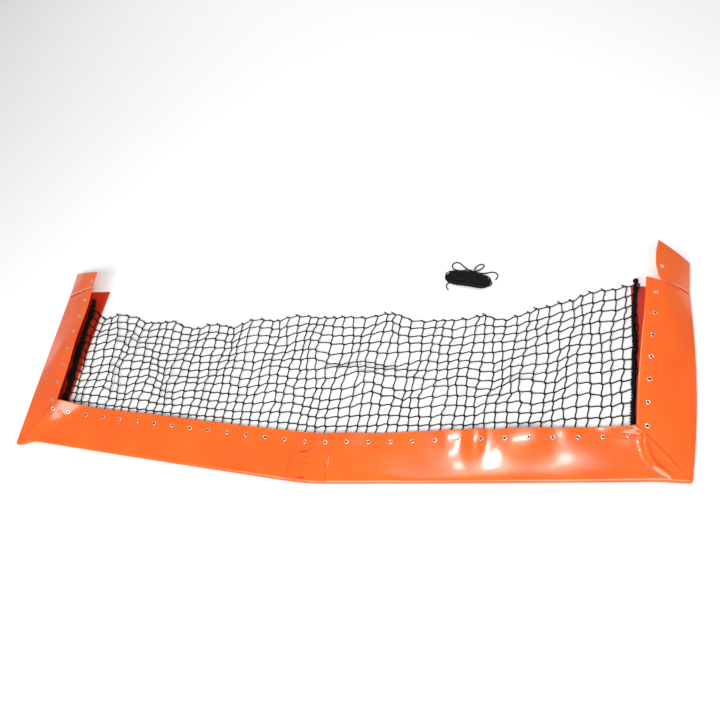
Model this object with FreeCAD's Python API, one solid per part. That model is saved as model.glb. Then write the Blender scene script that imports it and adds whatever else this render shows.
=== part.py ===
"""Net panel in a U-shaped vinyl skirt, lying flat: front run, two side arms, knotted net,
edge ropes, metal eyelets, label patch and a loose hank of lacing cord. Millimetres, +Z up."""
import FreeCAD
import Part
import math
import os

V = FreeCAD.Vector

# ---- driving dimensions -------------------------------------------------------------
EYELET_PITCH = 65.0
FRONT_EYELETS = 29
ARM_EYELETS = 7
RIGHT_RUN = 13.58 * EYELET_PITCH      # bend to last eyelet
LEFT_RUN = (FRONT_EYELETS - 1) * EYELET_PITCH - RIGHT_RUN
FRONT_BEND = 8.3                      # the front run lies slightly bent, degrees
RIGHT_LEAN = 7.0                      # lean of each arm from +Y towards +X, degrees
LEFT_LEAN = 4.0
ROW_TO_FOLD = 131.0                   # eyelet row to the outer fold
ROW_TO_LIP = 30.0                     # eyelet row to the free inner edge
RIGHT_COLUMN_GAP = 30.0               # last front eyelet to the arm's eyelet column
LEFT_COLUMN_GAP = -8.0
FIRST_SHIFT = 16.0                    # the left end's eyelet sits this much closer to the next
ARM_LENGTH = 492.0                    # lower leaf, from the eyelet row to its end
UPPER_SHORTER = 30.0                  # upper leaf stops this much earlier
FIRST_ARM_EYELET = 28.0

# ---- vinyl --------------------------------------------------------------------------
VINYL = 1.0
LEAF_GAP = 9.5
CLEAR = 0.3                           # between neighbouring bodies
FOLD_RADIUS = LEAF_GAP / 2 + VINYL    # outside of the folded edge
FOLD_AXIS_Z = FOLD_RADIUS
UPPER_Z = VINYL + LEAF_GAP
TOP_Z = UPPER_Z + VINYL
FLAP_RADIUS = FOLD_RADIUS + CLEAR + VINYL   # the flap's edge wraps over the fold
FLAP_WRAP = 50.0                      # degrees of wrap round the fold
FOLD_END = 135.0                      # where the arm's lower fold stops, degrees
MITRE_GAP = 1.6
RIGHT_OPEN = 36.0                     # how far each arm's upper leaf lies open, degrees
LEFT_OPEN = 24.0

# ---- end tabs -----------------------------------------------------------------------
# each: right arm, then left arm
TAB_INNER_LENGTH = {1: 134.0, -1: 66.0}
TAB_OUTER_LENGTH = {1: 108.0, -1: 103.0}
TAB_FOOT = {1: 112.0, -1: 150.0}      # width where it meets the crease
TAB_WIDTH = {1: 124.0, -1: 150.0}     # width at its tip
TAB_BELLY = {1: 9.0, -1: 1.0}         # swell of the inner edge past the tip's width
TAB_EYELET_OUT = {1: 48.0, -1: 34.0}  # beyond the crease
TAB_EYELET_EDGE = 16.0                # from the tip's inner edge
TAB_BEND = 1.0                        # the tabs lie almost in line with their leaves
CREASE_GAP = 1.2
CREASE_LIFT = FLAP_RADIUS - VINYL / 2

# ---- eyelets ------------------------------------------------------------------------
EYELET_OUTER = 6.5
EYELET_BACK = 5.8
EYELET_BARREL = 4.2
EYELET_HOLE = 3.25
EYELET_FACE = 0.9
EYELET_BACK_FACE = 0.6
EYELET_SLACK = 0.06
LEAF_HOLE = EYELET_BARREL + EYELET_SLACK

# ---- net ----------------------------------------------------------------------------
MESH = EYELET_PITCH / 2
TWINE = 3.2
NET_ROWS = 14
NET_START = -8.0                      # lowest weft, from the eyelet row
NET_Z = VINYL + CLEAR

# ---- edge ropes ---------------------------------------------------------------------
ROPE = 8.0
ROPE_INSET = 18.0                     # from the lower leaf's free edge into the sleeve
ROPE_START = 10.0
ROPE_END = 476.0
ROPE_KNOT = 7.6
ROPE_Z = VINYL + CLEAR + ROPE / 2
KNOT_Z = VINYL + CLEAR + ROPE_KNOT

# ---- label patch --------------------------------------------------------------------
PATCH_LENGTH = 128.0
PATCH_DEPTH = 97.0
PATCH_THICK = 0.6
PATCH_X = -10.0
PATCH_Y = -68.0
SEAM_INSET = 4.0
SEAM_WIDTH = 1.2
SEAM_HEIGHT = 0.4
DIVIDER_AT = 0.48
BAR_LENGTH = 24.0
BAR_WIDTH = 2.4
BAR_PLACES = ((-18.0, 38.0), (-14.0, -40.0))
LAY_GAP = 0.05

# ---- corner pleats ------------------------------------------------------------------
PLEAT_WIDTH = 5.0
PLEAT_HEIGHT = 1.6
PLEAT_START_INSET = 60.0              # from the inner corner, clear of the eyelets
PLEAT_END_INSET = 26.0                # from the outer corner
PLEAT_SPREAD = 9.0

# ---- hank of lacing cord ------------------------------------------------------------
HANK_LENGTH = 146.0
HANK_WIDTH = 54.0
HANK_HEIGHT = 28.0
HANK_ROUND = 12.5
HANK_AT = (458.0, 556.0)
HANK_TURN = -15.0
TIE_WIDTH = 15.0
TIE_THICK = 4.0
TIE_SHIFT = 12.0
HANK_CORD = 4.0
LOOP_RADII = (19.0, 15.0, 16.0)
LOOP_SHIFTS = (-52.0, 2.0, 46.0)


def unit(degrees_from_y):
    """Plan direction that leans from +Y towards +X."""
    a = math.radians(degrees_from_y)
    return V(math.sin(a), math.cos(a), 0)


def inward(direction, side):
    """Across an arm, from its fold towards the net. side is +1 right, -1 left."""
    return V(-direction.y * side, direction.x * side, 0)


def meet(p, d, q, e):
    """Where two plan lines cross."""
    k = ((q.x - p.x) * e.y - (q.y - p.y) * e.x) / (d.x * e.y - d.y * e.x)
    return p + d * k


# ---- layout of the front run and the arms -------------------------------------------
BEND = math.radians(FRONT_BEND)
FRONT_DIR = {1: V(1, 0, 0), -1: V(-math.cos(BEND), math.sin(BEND), 0)}
FRONT_IN = {1: V(0, 1, 0), -1: V(math.sin(BEND), math.cos(BEND), 0)}
RUN = {1: RIGHT_RUN, -1: LEFT_RUN}
ARM_DIR = {1: unit(RIGHT_LEAN), -1: unit(LEFT_LEAN)}
ARM_IN = {1: inward(ARM_DIR[1], 1), -1: inward(ARM_DIR[-1], -1)}
COLUMN_GAP = {1: RIGHT_COLUMN_GAP, -1: LEFT_COLUMN_GAP}
OPEN = {1: RIGHT_OPEN, -1: LEFT_OPEN}
NAME = {1: "right", -1: "left"}
LEAF_WIDTH = ROW_TO_FOLD + ROW_TO_LIP


def front_point(side, along, offset):
    """Along the row from the bend, and offset towards the net."""
    return FRONT_DIR[side] * along + FRONT_IN[side] * offset


def bend_point(offset):
    """The front run's bend at an offset from the row."""
    return V(offset * math.tan(BEND / 2), offset, 0)


def arm_root(side):
    """Where the arm's eyelet column crosses the front row."""
    return front_point(side, RUN[side] + COLUMN_GAP[side], 0)


def arm_point(side, along, offset):
    """Along the arm from the row, and offset from its column towards the net."""
    return arm_root(side) + ARM_DIR[side] * along + ARM_IN[side] * offset


def corner(side, offset):
    """Where the front line and the arm line of one offset cross, on the mitre."""
    start = front_point(side, 0, offset)
    return meet(start, FRONT_DIR[side], arm_point(side, 0, offset), ARM_DIR[side])


def flat(points, z, height):
    """A straight-sided plate from plan points."""
    raised = [V(p.x, p.y, z) for p in points]
    return Part.Face(Part.makePolygon(raised + raised[:1])).extrude(V(0, 0, height))


def mitre_shift(side, toward_arm):
    """A small step off the mitre, to the arm's side or to the front's side."""
    if toward_arm:
        return ARM_DIR[side] * (MITRE_GAP / 2)
    return FRONT_DIR[side] * (-MITRE_GAP / 2)


def front_plan(side, outer, inner):
    """Plan of one half of the front run between two offsets."""
    step = mitre_shift(side, False)
    return [bend_point(outer), corner(side, outer) + step,
            corner(side, inner) + step, bend_point(inner)]


def arm_plan(side, outer, inner, end):
    """Plan of an arm between two offsets, from the mitre to its end."""
    step = mitre_shift(side, True)
    return [corner(side, outer) + step, arm_point(side, end, outer),
            arm_point(side, end, inner), corner(side, inner) + step]


def ring_sector(inner_r, outer_r, start, stop):
    """Cross-section of a fold: x across (inwards positive), z up, centred on its axis."""
    def at(r, degrees):
        a = math.radians(degrees)
        return V(r * math.cos(a), 0, r * math.sin(a))
    mid = (start + stop) / 2
    edges = [Part.Arc(at(outer_r, start), at(outer_r, mid), at(outer_r, stop)).toShape(),
             Part.makeLine(at(outer_r, stop), at(inner_r, stop)),
             Part.Arc(at(inner_r, stop), at(inner_r, mid), at(inner_r, start)).toShape(),
             Part.makeLine(at(inner_r, start), at(outer_r, start))]
    return Part.Face(Part.Wire(edges))


def placed_section(face, origin, across, along, length, back):
    """Sweep a cross-section along a run. It starts back before the origin."""
    m = FreeCAD.Matrix()
    start = origin - along * back
    m.A11, m.A21, m.A31 = across.x, across.y, 0
    m.A12, m.A22, m.A32 = along.x, along.y, 0
    m.A13, m.A23, m.A33 = 0, 0, 1
    m.A14, m.A24, m.A34 = start.x, start.y, FOLD_AXIS_Z
    solid = face.extrude(V(0, length, 0))
    moved = solid.transformGeometry(m) if m.determinant() < 0 else placed(solid, m)
    return moved


def placed(solid, matrix):
    """A copy moved by a rotation matrix."""
    copy = solid.copy()
    copy.Placement = FreeCAD.Placement(matrix)
    return copy


def between(solid, plan):
    """The part of a swept run that lies over a plan outline."""
    return solid.common(flat(plan, -60, 400))


def swept(side_in, direction, origin, length, face):
    """Sweep a fold's section; mirrored sections are turned round instead."""
    handed = side_in.x * direction.y - side_in.y * direction.x
    if handed > 0:
        return placed_section(face, origin, side_in, direction, length, 0)
    end = origin + direction * length
    return placed_section(face, end, side_in, direction * -1, length, 0)


def front_fold(side):
    """One half of the front run's outer fold: a half ring from leaf to leaf."""
    axis_at = -ROW_TO_FOLD + FOLD_RADIUS
    section = ring_sector(FOLD_RADIUS - VINYL, FOLD_RADIUS, 90, 270)
    overrun = 3 * LEAF_WIDTH
    origin = front_point(side, -overrun, axis_at)
    run = swept(FRONT_IN[side], FRONT_DIR[side], origin, RUN[side] + 2 * overrun, section)
    return between(run, front_plan(side, -ROW_TO_FOLD - 1, axis_at))


def arm_fold(side):
    """The arm's lower fold, from the lower leaf round to just past the outermost line."""
    axis_at = -ROW_TO_FOLD + FOLD_RADIUS
    section = ring_sector(FOLD_RADIUS - VINYL, FOLD_RADIUS, FOLD_END, 270)
    origin = arm_point(side, -2 * LEAF_WIDTH, axis_at)
    run = swept(ARM_IN[side], ARM_DIR[side], origin, ARM_LENGTH + 3 * LEAF_WIDTH, section)
    return between(run, arm_plan(side, -ROW_TO_FOLD - 1, axis_at, ARM_LENGTH))


def flat_leaf(plan, z):
    return flat(plan, z, VINYL)


def flap_axis(side):
    """A point on the arm's fold axis and the hinge direction that opens the flap."""
    point = arm_point(side, 0, -ROW_TO_FOLD + FOLD_RADIUS)
    return V(point.x, point.y, FOLD_AXIS_Z), ARM_DIR[side] * side


def opened(shape, side):
    """Turn a closed flap piece to the angle it rests at."""
    point, axis = flap_axis(side)
    turned = shape.copy()
    turned.rotate(point, axis, OPEN[side])
    return turned


def crease(side):
    """The tab's crease with the flap closed: its middle and its hinge direction."""
    end = ARM_LENGTH - UPPER_SHORTER
    point = arm_point(side, end, -ROW_TO_FOLD + FOLD_RADIUS)
    return V(point.x, point.y, FOLD_AXIS_Z + CREASE_LIFT), ARM_IN[side] * -side


def bent(shape, side):
    """Turn a flat tab piece up about its crease."""
    point, axis = crease(side)
    turned = shape.copy()
    turned.rotate(point, axis, TAB_BEND)
    return turned


def leaf_holes(places, z):
    """Cutters for the eyelet barrels."""
    return [Part.makeCylinder(LEAF_HOLE, 6, V(p.x, p.y, z - 3)) for p in places]


def pierced(leaf, places, z):
    for cutter in leaf_holes(places, z):
        leaf = leaf.cut(cutter)
    return leaf


def arm_places(side):
    return [arm_point(side, FIRST_ARM_EYELET + i * EYELET_PITCH, 0) for i in range(ARM_EYELETS)]


def front_places():
    """Eyelet centres, from the left end to the right end."""
    out = []
    for i in range(FRONT_EYELETS):
        s = i * EYELET_PITCH - LEFT_RUN + (FIRST_SHIFT if i == 0 else 0)
        out.append(front_point(1, s, 0) if s >= 0 else front_point(-1, -s, 0))
    return out


def tab_end(side):
    """Where the tab starts along the arm."""
    return ARM_LENGTH - UPPER_SHORTER + CREASE_GAP


def tab_place(side):
    across = -ROW_TO_FOLD + FOLD_RADIUS + TAB_WIDTH[side] - TAB_EYELET_EDGE
    return arm_point(side, tab_end(side) + TAB_EYELET_OUT[side], across)


def eyelet(place, top):
    """Rolled face above the leaf, barrel through it, washer below."""
    face = Part.makeCylinder(EYELET_OUTER, EYELET_FACE, V(0, 0, EYELET_SLACK))
    face = face.makeChamfer(EYELET_FACE * 0.45, [face.Edges[0]])
    barrel_height = VINYL + 2 * EYELET_SLACK
    barrel = Part.makeCylinder(EYELET_BARREL, barrel_height, V(0, 0, -VINYL - EYELET_SLACK))
    back_z = -VINYL - EYELET_SLACK - EYELET_BACK_FACE
    back = Part.makeCylinder(EYELET_BACK, EYELET_BACK_FACE, V(0, 0, back_z))
    hole = Part.makeCylinder(EYELET_HOLE, 8, V(0, 0, -4))
    ring = face.fuse(barrel).fuse(back).cut(hole).removeSplitter()
    ring.translate(V(place.x, place.y, top))
    return ring


def eyelets(places, top):
    return Part.makeCompound([eyelet(p, top) for p in places])


def flap_leaf(side):
    """The arm's upper leaf, closed: a flat leaf whose edge wraps over the fold."""
    axis_at = -ROW_TO_FOLD + FOLD_RADIUS
    end = ARM_LENGTH - UPPER_SHORTER
    under = FOLD_AXIS_Z + FLAP_RADIUS - VINYL
    plate = flat(arm_plan(side, axis_at, ROW_TO_LIP, end), under, VINYL)
    section = ring_sector(FLAP_RADIUS - VINYL, FLAP_RADIUS, 90, 90 + FLAP_WRAP)
    origin = arm_point(side, -2 * LEAF_WIDTH, axis_at)
    run = swept(ARM_IN[side], ARM_DIR[side], origin, ARM_LENGTH + 3 * LEAF_WIDTH, section)
    wrap = between(run, arm_plan(side, axis_at - FLAP_RADIUS - 1, axis_at, end))
    leaf = pierced(plate, arm_places(side), under).fuse(wrap).removeSplitter()
    return leaf


def tab_plan(side):
    """Outline of the end tab: slanted at its end, with a swollen inner edge."""
    end = tab_end(side)
    fold = -ROW_TO_FOLD + FOLD_RADIUS
    inner = fold + TAB_WIDTH[side]
    foot = arm_point(side, end, fold + TAB_FOOT[side])
    tip = arm_point(side, end + TAB_INNER_LENGTH[side], inner)
    belly = arm_point(side, end + TAB_INNER_LENGTH[side] / 2, inner + TAB_BELLY[side])
    outer_top = arm_point(side, end + TAB_OUTER_LENGTH[side], fold)
    outer_foot = arm_point(side, end, fold)
    return [outer_foot, outer_top, tip, belly, foot]


def tab_leaf(side):
    """The tab, flat in line with the closed flap."""
    under = FOLD_AXIS_Z + FLAP_RADIUS - VINYL
    outer_foot, outer_top, tip, belly, foot = [V(p.x, p.y, under) for p in tab_plan(side)]
    edges = [Part.makeLine(outer_foot, outer_top), Part.makeLine(outer_top, tip),
             Part.Arc(tip, belly, foot).toShape(), Part.makeLine(foot, outer_foot)]
    plate = Part.Face(Part.Wire(edges)).extrude(V(0, 0, VINYL))
    return pierced(plate, [tab_place(side)], under)


def rope_line(side):
    """Plan offset of the rope's centre from the eyelet column."""
    return ROW_TO_LIP - ROPE_INSET


def rope(side):
    """Straight edge rope in the sleeve's mouth, with a stopper knot at its far end."""
    start = arm_point(side, ROPE_START, rope_line(side))
    base = V(start.x, start.y, ROPE_Z)
    length = ROPE_END - ROPE_START
    strand = Part.makeCylinder(ROPE / 2, length, base, ARM_DIR[side])
    far = arm_point(side, ROPE_END, rope_line(side))
    knot = Part.makeSphere(ROPE_KNOT, V(far.x, far.y, KNOT_Z))
    return strand.fuse(knot).removeSplitter()


def net_columns():
    """Column count, and where each column starts on the row and which way it runs."""
    edge = ROPE / 2 + CLEAR + TWINE / 2
    left = arm_point(-1, NET_START, rope_line(-1) + edge)
    right = arm_point(1, NET_START, rope_line(1) + edge)
    bend = bend_point(NET_START)
    left_length = (bend - left).Length
    right_length = (right - bend).Length
    left_cells = round(left_length / MESH)
    right_cells = round(right_length / MESH)
    columns = [(left + (bend - left) * (i / left_cells)) for i in range(left_cells)]
    columns += [(bend + (right - bend) * (i / right_cells)) for i in range(right_cells + 1)]
    cells = left_cells + right_cells
    leans = [LEFT_LEAN + (RIGHT_LEAN - LEFT_LEAN) * i / cells for i in range(cells + 1)]
    return [(p, unit(a)) for p, a in zip(columns, leans)]


def net():
    """The net as one flat grid of square cells with straight twines."""
    columns = net_columns()
    half = TWINE / 2
    grid = [[p + d * (j * MESH) for j in range(NET_ROWS + 1)] for p, d in columns]
    wires = []
    for i in range(len(grid) - 1):
        for j in range(NET_ROWS):
            cell = (grid[i][j], grid[i + 1][j], grid[i + 1][j + 1], grid[i][j + 1])
            across = (cell[1] - cell[0]).normalize() * half
            along = (cell[3] - cell[0]).normalize() * half
            signs = ((1, 1), (-1, 1), (-1, -1), (1, -1))
            inner = [c + across * a + along * b for c, (a, b) in zip(cell, signs)]
            wires.append(Part.makePolygon(inner + inner[:1]))
    wires.insert(0, net_border(grid, half))
    face = Part.makeFace(wires, "Part::FaceMakerBullseye")
    slab = face.extrude(V(0, 0, TWINE))
    slab.translate(V(0, 0, NET_Z))
    return slab


def net_border(grid, half):
    """Outline of the whole net, half a twine outside its edge lines."""
    bottom = [column[0] for column in grid]
    top = [column[-1] for column in grid]
    kinks = [i for i, p in enumerate(bottom) if p.sub(bend_point(NET_START)).Length < 1e-6]
    along_left = (grid[0][-1] - grid[0][0]).normalize() * half
    along_right = (grid[-1][-1] - grid[-1][0]).normalize() * half
    out_left = (bottom[0] - bottom[1]).normalize() * half
    out_right = (bottom[-1] - bottom[-2]).normalize() * half
    lower = [bottom[0] + out_left - along_left]
    lower += [bottom[i] - along_right for i in kinks]
    lower += [bottom[-1] + out_right - along_right]
    upper = [p + along_left for p in top[1:-1]]
    upper = [top[0] + out_left + along_left] + upper + [top[-1] + out_right + along_right]
    points = lower + upper[::-1]
    return Part.makePolygon(points + points[:1])


def on_patch(shape):
    """Move a piece drawn about the patch's centre to its place on the front leaf."""
    shape.rotate(V(0, 0, 0), V(0, 0, 1), -FRONT_BEND / 2)
    shape.translate(V(PATCH_X, PATCH_Y, 0))
    return shape


def centred_box(length, depth, x, y, z, height):
    return Part.makeBox(length, depth, height, V(x - length / 2, y - depth / 2, z))


def patch():
    return on_patch(centred_box(PATCH_LENGTH, PATCH_DEPTH, 0, 0, TOP_Z + LAY_GAP, PATCH_THICK))


def patch_seams():
    """Stitch lines round the patch and across it."""
    z = TOP_Z + 2 * LAY_GAP + PATCH_THICK
    length = PATCH_LENGTH - 2 * SEAM_INSET
    depth = PATCH_DEPTH - 2 * SEAM_INSET
    frame = centred_box(length, depth, 0, 0, z, SEAM_HEIGHT)
    split = depth * DIVIDER_AT
    low = depth - split - 1.5 * SEAM_WIDTH
    high = split - 1.5 * SEAM_WIDTH
    inner = length - 2 * SEAM_WIDTH
    low_y = -depth / 2 + SEAM_WIDTH + low / 2
    high_y = depth / 2 - SEAM_WIDTH - high / 2
    frame = frame.cut(centred_box(inner, low, 0, low_y, z - 1, 3))
    frame = frame.cut(centred_box(inner, high, 0, high_y, z - 1, 3))
    return on_patch(frame)


def patch_bars():
    """Two short bar tacks on the patch."""
    z = TOP_Z + 2 * LAY_GAP + PATCH_THICK
    bars = [centred_box(BAR_LENGTH, BAR_WIDTH, x, y, z, SEAM_HEIGHT) for x, y in BAR_PLACES]
    return on_patch(Part.makeCompound(bars))


def pleat(side, spread, shorter):
    """A raised pleat beside the mitre, tapering from the inner to the outer corner."""
    outer = corner(side, -ROW_TO_FOLD)
    inner = corner(side, ROW_TO_LIP)
    along = (outer - inner).normalize()
    start = inner + along * (PLEAT_START_INSET + shorter)
    end = outer - along * PLEAT_END_INSET
    shift = FRONT_DIR[side] * (-spread)
    half = V(-along.y, along.x, 0) * (PLEAT_WIDTH / 2)
    points = [start + shift * 0.5, end + shift + half, end + shift - half]
    return flat(points, TOP_Z + LAY_GAP, PLEAT_HEIGHT)


def hank_place(shape):
    shape.rotate(V(0, 0, 0), V(0, 0, 1), HANK_TURN)
    shape.translate(V(HANK_AT[0], HANK_AT[1], 0))
    return shape


def hank_bundle():
    """Outer shape of the wound cord."""
    body = centred_box(HANK_LENGTH, HANK_WIDTH, 0, 0, 0, HANK_HEIGHT)
    body = body.makeFillet(HANK_ROUND, body.Edges)
    return hank_place(body)


def hank_tie():
    """Wraps round the hank's waist."""
    outer_w = HANK_WIDTH + 2 * (CLEAR + TIE_THICK)
    top = HANK_HEIGHT + CLEAR + TIE_THICK
    inner_w = HANK_WIDTH + 2 * CLEAR
    low = LAY_GAP
    outer = centred_box(TIE_WIDTH, outer_w, TIE_SHIFT, 0, low, top - low)
    lengthwise = [e for e in outer.Edges if abs(e.tangentAt(e.FirstParameter).x) > 0.9]
    outer = outer.makeFillet(HANK_ROUND, lengthwise)
    inner = centred_box(2 * TIE_WIDTH, inner_w, TIE_SHIFT, 0, -TIE_THICK,
                        HANK_HEIGHT + CLEAR + TIE_THICK)
    lengthwise = [e for e in inner.Edges if abs(e.tangentAt(e.FirstParameter).x) > 0.9]
    inner = inner.makeFillet(HANK_ROUND - TIE_THICK / 2, lengthwise)
    return hank_place(outer.cut(inner))


def hank_loops():
    """Three loose loops of cord beside the bundle."""
    loops = []
    for radius, shift in zip(LOOP_RADII, LOOP_SHIFTS):
        y = HANK_WIDTH / 2 + CLEAR + radius + HANK_CORD / 2
        loop = Part.makeTorus(radius, HANK_CORD / 2, V(shift, y, HANK_CORD / 2), V(0, 0, 1))
        loops.append(loop)
    return hank_place(Part.makeCompound(loops))


def both_halves(make):
    return Part.makeCompound([make(1), make(-1)])


def front_leaf(z, places):
    """A flat leaf of the front run in two halves that meet at the bend."""
    fold = -ROW_TO_FOLD + FOLD_RADIUS
    halves = []
    for side in (1, -1):
        half = flat_leaf(front_plan(side, fold, ROW_TO_LIP), z)
        mine = [p for p in places if p.x * side > 0]
        halves.append(pierced(half, mine, z))
    return Part.makeCompound(halves)


def arm_nodes(side):
    """Every piece of one arm, by name."""
    name = NAME[side]
    fold = -ROW_TO_FOLD + FOLD_RADIUS
    flap_top = FOLD_AXIS_Z + FLAP_RADIUS
    plan = arm_plan(side, fold, ROW_TO_LIP, ARM_LENGTH)
    flap_eyelets = eyelets(arm_places(side), flap_top)
    tab_eyelet = eyelet(tab_place(side), flap_top)
    return {
        name + "_lower_leaf": flat_leaf(plan, 0),
        name + "_fold": arm_fold(side),
        name + "_upper_leaf": opened(flap_leaf(side), side),
        name + "_eyelets": opened(flap_eyelets, side),
        name + "_tab": opened(bent(tab_leaf(side), side), side),
        name + "_tab_eyelet": opened(bent(tab_eyelet, side), side),
        name + "_edge_rope": rope(side),
        name + "_corner_pleat": pleat(side, PLEAT_SPREAD, 0),
        name + "_corner_tuck": pleat(side, 3 * PLEAT_SPREAD, 3 * PLEAT_SPREAD),
    }


def nodes():
    """Every piece of the object, by name."""
    places = front_places()
    out = {
        "front_lower_leaf": front_leaf(0, []),
        "front_fold": both_halves(front_fold),
        "front_upper_leaf": front_leaf(UPPER_Z, places),
        "front_eyelets": eyelets(places, TOP_Z),
        "net": net(),
        "label_patch": patch(),
        "label_seams": patch_seams(),
        "label_bar_tacks": patch_bars(),
        "hank_bundle": hank_bundle(),
        "hank_tie": hank_tie(),
        "hank_loops": hank_loops(),
    }
    for side in (1, -1):
        out.update(arm_nodes(side))
    return out


def main():
    os.makedirs("parts", exist_ok=True)
    for name, shape in nodes().items():
        shape.exportStep("parts/" + name + ".step")
        box = shape.BoundBox
        print(name, len(shape.Solids), shape.isValid(), round(shape.Volume, 1),
              [round(v, 1) for v in (box.XMin, box.XMax, box.YMin, box.YMax, box.ZMin, box.ZMax)])
    for side in (1, -1):
        point, axis = flap_axis(side)
        print(NAME[side], "flap hinge", point, axis)
        tab_point, tab_axis = crease(side)
        turn = FreeCAD.Rotation(axis, OPEN[side])
        print(NAME[side], "tab hinge", point + turn.multVec(tab_point - point),
              turn.multVec(tab_axis))
    print("front eyelet", min(front_places(), key=lambda p: abs(p.x - 200)))


main()
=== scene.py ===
# %% [markdown]
# # Net panel with a folded vinyl skirt
# A flat knotted net lies in a U of glossy folded vinyl. Every soft sheet is a closed grid shaped by a height
# function, because loose vinyl lies in broad, smooth bulges that a few plain waves describe well.

import math

import bmesh
import bpy
import numpy as np
from mathutils import Matrix, Vector
from mathutils.bvhtree import BVHTree


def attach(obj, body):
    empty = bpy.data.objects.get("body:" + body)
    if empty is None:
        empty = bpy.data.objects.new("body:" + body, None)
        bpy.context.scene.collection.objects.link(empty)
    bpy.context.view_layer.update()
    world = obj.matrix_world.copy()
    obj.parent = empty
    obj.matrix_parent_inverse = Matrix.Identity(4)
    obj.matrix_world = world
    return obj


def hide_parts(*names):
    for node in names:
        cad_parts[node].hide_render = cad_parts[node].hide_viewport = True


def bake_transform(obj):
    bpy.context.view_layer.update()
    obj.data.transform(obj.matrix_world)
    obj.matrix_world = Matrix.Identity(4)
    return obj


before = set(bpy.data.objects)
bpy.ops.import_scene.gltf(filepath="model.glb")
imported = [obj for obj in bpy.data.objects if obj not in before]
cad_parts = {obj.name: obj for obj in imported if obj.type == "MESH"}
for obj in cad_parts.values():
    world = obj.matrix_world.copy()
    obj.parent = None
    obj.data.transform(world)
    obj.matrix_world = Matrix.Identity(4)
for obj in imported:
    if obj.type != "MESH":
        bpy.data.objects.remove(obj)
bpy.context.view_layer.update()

# %% [markdown]
# ## Layout
# The same sizes as the solid model, in metres. Points on the front run are given along the eyelet row from the
# bend; points on an arm are given along the arm from the row. Offsets grow towards the net.

# %% Layout sizes and plan helpers
MM = 0.001
PITCH = 65 * MM
FRONT_EYELETS = 29
ARM_EYELETS = 7
RIGHT_RUN = 13.58 * PITCH
LEFT_RUN = (FRONT_EYELETS - 1) * PITCH - RIGHT_RUN
FRONT_BEND = math.radians(8.3)
LEAN = {1: math.radians(7.0), -1: math.radians(4.0)}
COLUMN_GAP = {1: 30 * MM, -1: -8 * MM}
FIRST_SHIFT = 16 * MM
FOLD_AT = -131 * MM
LIP_AT = 30 * MM
LEAF_WIDTH = LIP_AT - FOLD_AT
ARM_LENGTH = 492 * MM
FLAP_END = 462 * MM
FIRST_ARM_EYELET = 28 * MM
VINYL = 1.0 * MM
FOLD_RADIUS = 5.75 * MM
FLAP_RADIUS = 7.05 * MM
TOP = 11.5 * MM
SIDES = {1: "right", -1: "left"}

FRONT_DIR = {1: np.array([1.0, 0.0]), -1: np.array([-math.cos(FRONT_BEND), math.sin(FRONT_BEND)])}
FRONT_IN = {1: np.array([0.0, 1.0]), -1: np.array([math.sin(FRONT_BEND), math.cos(FRONT_BEND)])}
RUN = {1: RIGHT_RUN, -1: LEFT_RUN}
ARM_DIR = {s: np.array([math.sin(LEAN[s]), math.cos(LEAN[s])]) for s in SIDES}
ARM_IN = {s: np.array([-ARM_DIR[s][1] * s, ARM_DIR[s][0] * s]) for s in SIDES}


def front_point(side, along, offset):
    return FRONT_DIR[side] * along + FRONT_IN[side] * offset


def arm_point(side, along, offset):
    return front_point(side, RUN[side] + COLUMN_GAP[side], 0) + ARM_DIR[side] * along + ARM_IN[side] * offset


def meet(p, d, q, e):
    k = ((q[0] - p[0]) * e[1] - (q[1] - p[1]) * e[0]) / (d[0] * e[1] - d[1] * e[0])
    return p + d * k


def corner(side, offset):
    return meet(front_point(side, 0, offset), FRONT_DIR[side], arm_point(side, 0, offset), ARM_DIR[side])


def smooth(x, low, high):
    t = np.clip((np.asarray(x, float) - low) / (high - low), 0, 1)
    return t * t * (3 - 2 * t)


def bump(x, centre, width):
    return np.exp(-(((np.asarray(x, float) - centre) / width) ** 2))


# %% [markdown]
# ## Camera
# It looks down at the panel from its front right, turned a little about its own axis so that the front run
# lies level across the picture.

# %% Camera
CAMERA_AZ, CAMERA_EL, CAMERA_ROLL = (math.radians(a) for a in (25.72, 57.87, -25.0))
CAMERA_TARGET = Vector((0.119, 0.283, 0.0))
CAMERA_DISTANCE = 2.199
CAMERA_LENS = 35.0


def place_camera():
    away = Vector((
        math.sin(CAMERA_AZ) * math.cos(CAMERA_EL),
        -math.cos(CAMERA_AZ) * math.cos(CAMERA_EL),
        math.sin(CAMERA_EL),
    ))
    level = (-away).cross(Vector((0, 0, 1))).normalized()
    raised = level.cross(-away)
    right = level * math.cos(CAMERA_ROLL) + raised * math.sin(CAMERA_ROLL)
    up = raised * math.cos(CAMERA_ROLL) - level * math.sin(CAMERA_ROLL)
    data = bpy.data.cameras.new("camera")
    data.lens = CAMERA_LENS
    data.sensor_width = 36.0
    camera = bpy.data.objects.new("camera", data)
    bpy.context.scene.collection.objects.link(camera)
    camera.matrix_world = Matrix.Translation(CAMERA_TARGET + away * CAMERA_DISTANCE) @ Matrix(
        (right, up, away)
    ).transposed().to_4x4()
    bpy.context.scene.camera = camera


place_camera()
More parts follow.
